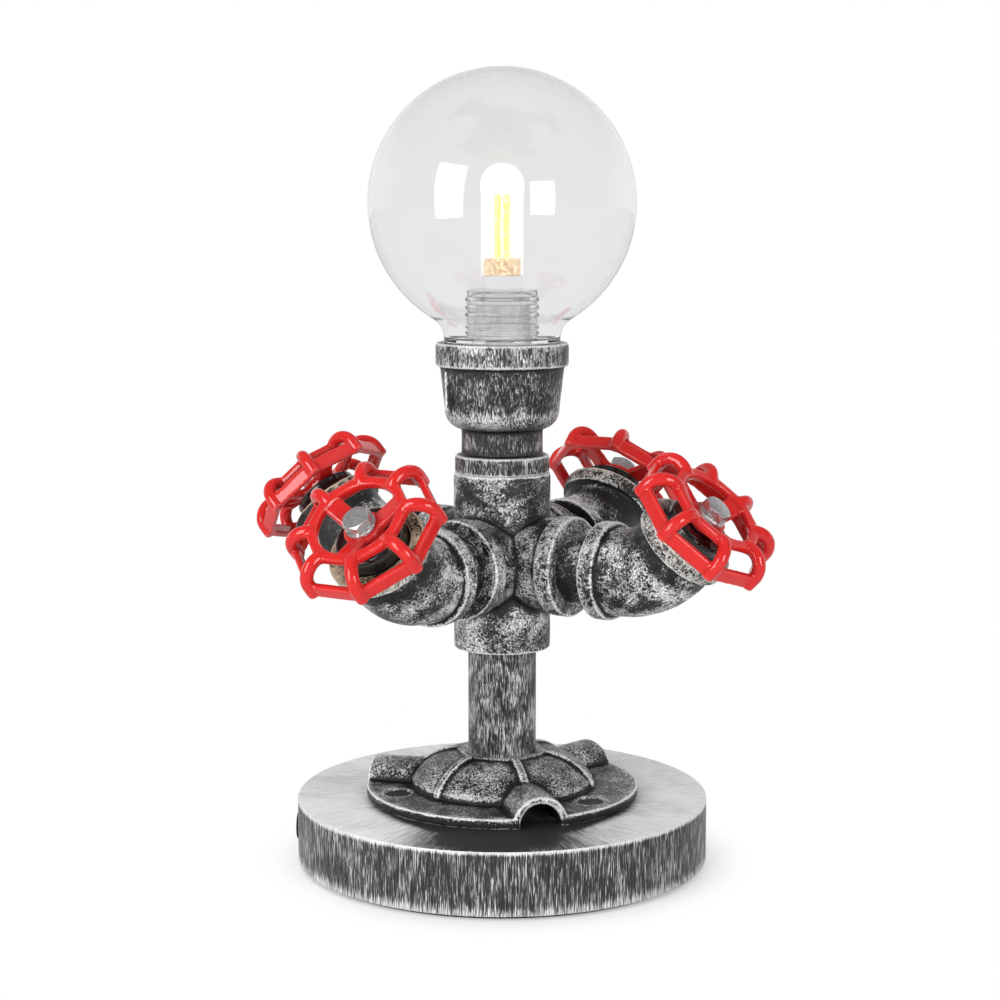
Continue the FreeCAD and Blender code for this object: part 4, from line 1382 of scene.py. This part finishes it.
@dataclass
class Studio:
    """Pale floor, soft light and camera."""

    softboxes: tuple[Softbox, ...] = (
        Softbox("left_softbox", -45.0, 11.5, (0.56, 0.9), 10.5),
        Softbox("right_softbox", 33.5, 6.5, (0.45, 0.56), 6.5),
        Softbox("top_softbox", 200.0, 70.0, (1.0, 1.0), 9.0, mirrored=False),
    )
    aim: Vector = Vector((0.0, 0.0, 0.2))
    floor_half: float = 6.0
    camera_place: Vector = Vector((-0.00085, -0.8316, 0.2570))
    camera_pitch: float = 7.73
    lens: float = 76.8
    sensor: float = 36.0
    room_front: float = 0.25
    room_back: float = 0.95
    room_light: float = 0.62

    def build(self) -> None:
        """Builds the studio."""
        self.build_floor()
        self.build_world()
        for softbox in self.softboxes:
            softbox.build(self.aim)
        self.build_camera()
        bpy.context.scene.view_settings.view_transform = "Standard"

    def build_floor(self) -> None:
        """Lays the floor."""
        half = self.floor_half
        mesh = bpy.data.meshes.new("floor")
        corners = [(-half, -half, 0), (half, -half, 0), (half, half, 0), (-half, half, 0)]
        mesh.from_pydata(corners, [], [(0, 1, 2, 3)])
        floor = new_piece("floor", mesh)
        dress(floor, FLOOR)

    def build_world(self) -> None:
        """Makes the world white where it is seen, and softer where it lights."""
        world = bpy.data.worlds.new("studio")
        world.use_nodes = True
        bpy.context.scene.world = world
        w = Wiring(world.node_tree)
        backdrop = world.node_tree.nodes["Background"]
        rays = w.node("LightPath").outputs
        seen = w.plus(rays["Is Camera Ray"], rays["Is Transmission Ray"], clamp=True)
        way = w.split(w.node("TexCoord").outputs["Generated"])
        behind = w.remap(way["Y"], -0.1, 0.5)
        low = w.minus(1.0, w.remap(way["Z"], 0.15, 0.6))
        mirrored = w.blended(w.times(behind, low), self.room_front, self.room_back)
        shiny = w.times(rays["Is Glossy Ray"], mirrored)
        plain = w.minus(1.0, rays["Is Glossy Ray"])
        level = w.maths("MULTIPLY_ADD", plain, self.room_light, shiny)
        strength = w.maths("MAXIMUM", seen, level)
        w.fill(backdrop, Color=(1.0, 1.0, 1.0, 1.0), Strength=strength)

    def build_camera(self) -> None:
        """Sets the camera up."""
        data = bpy.data.cameras.new("camera")
        data.lens = self.lens
        data.sensor_width = self.sensor
        camera = new_piece("camera", data)
        camera.location = self.camera_place
        camera.rotation_euler = (math.radians(90.0 - self.camera_pitch), 0.0, 0.0)
        bpy.context.scene.camera = camera


def main() -> None:
    """Builds the lamp and its studio."""
    logging.basicConfig(level=logging.INFO, format="%(name)s %(message)s")
    Studio().build()
    arms = (Arm(name) for name in ARMS)
    for group in (BaseGroup(), Column(), *arms, Fasteners(), Holder(), Globe(), Bulb()):
        group.build()
        log.info("%s done", type(group).__name__)


if __name__ == "__main__":
    main()
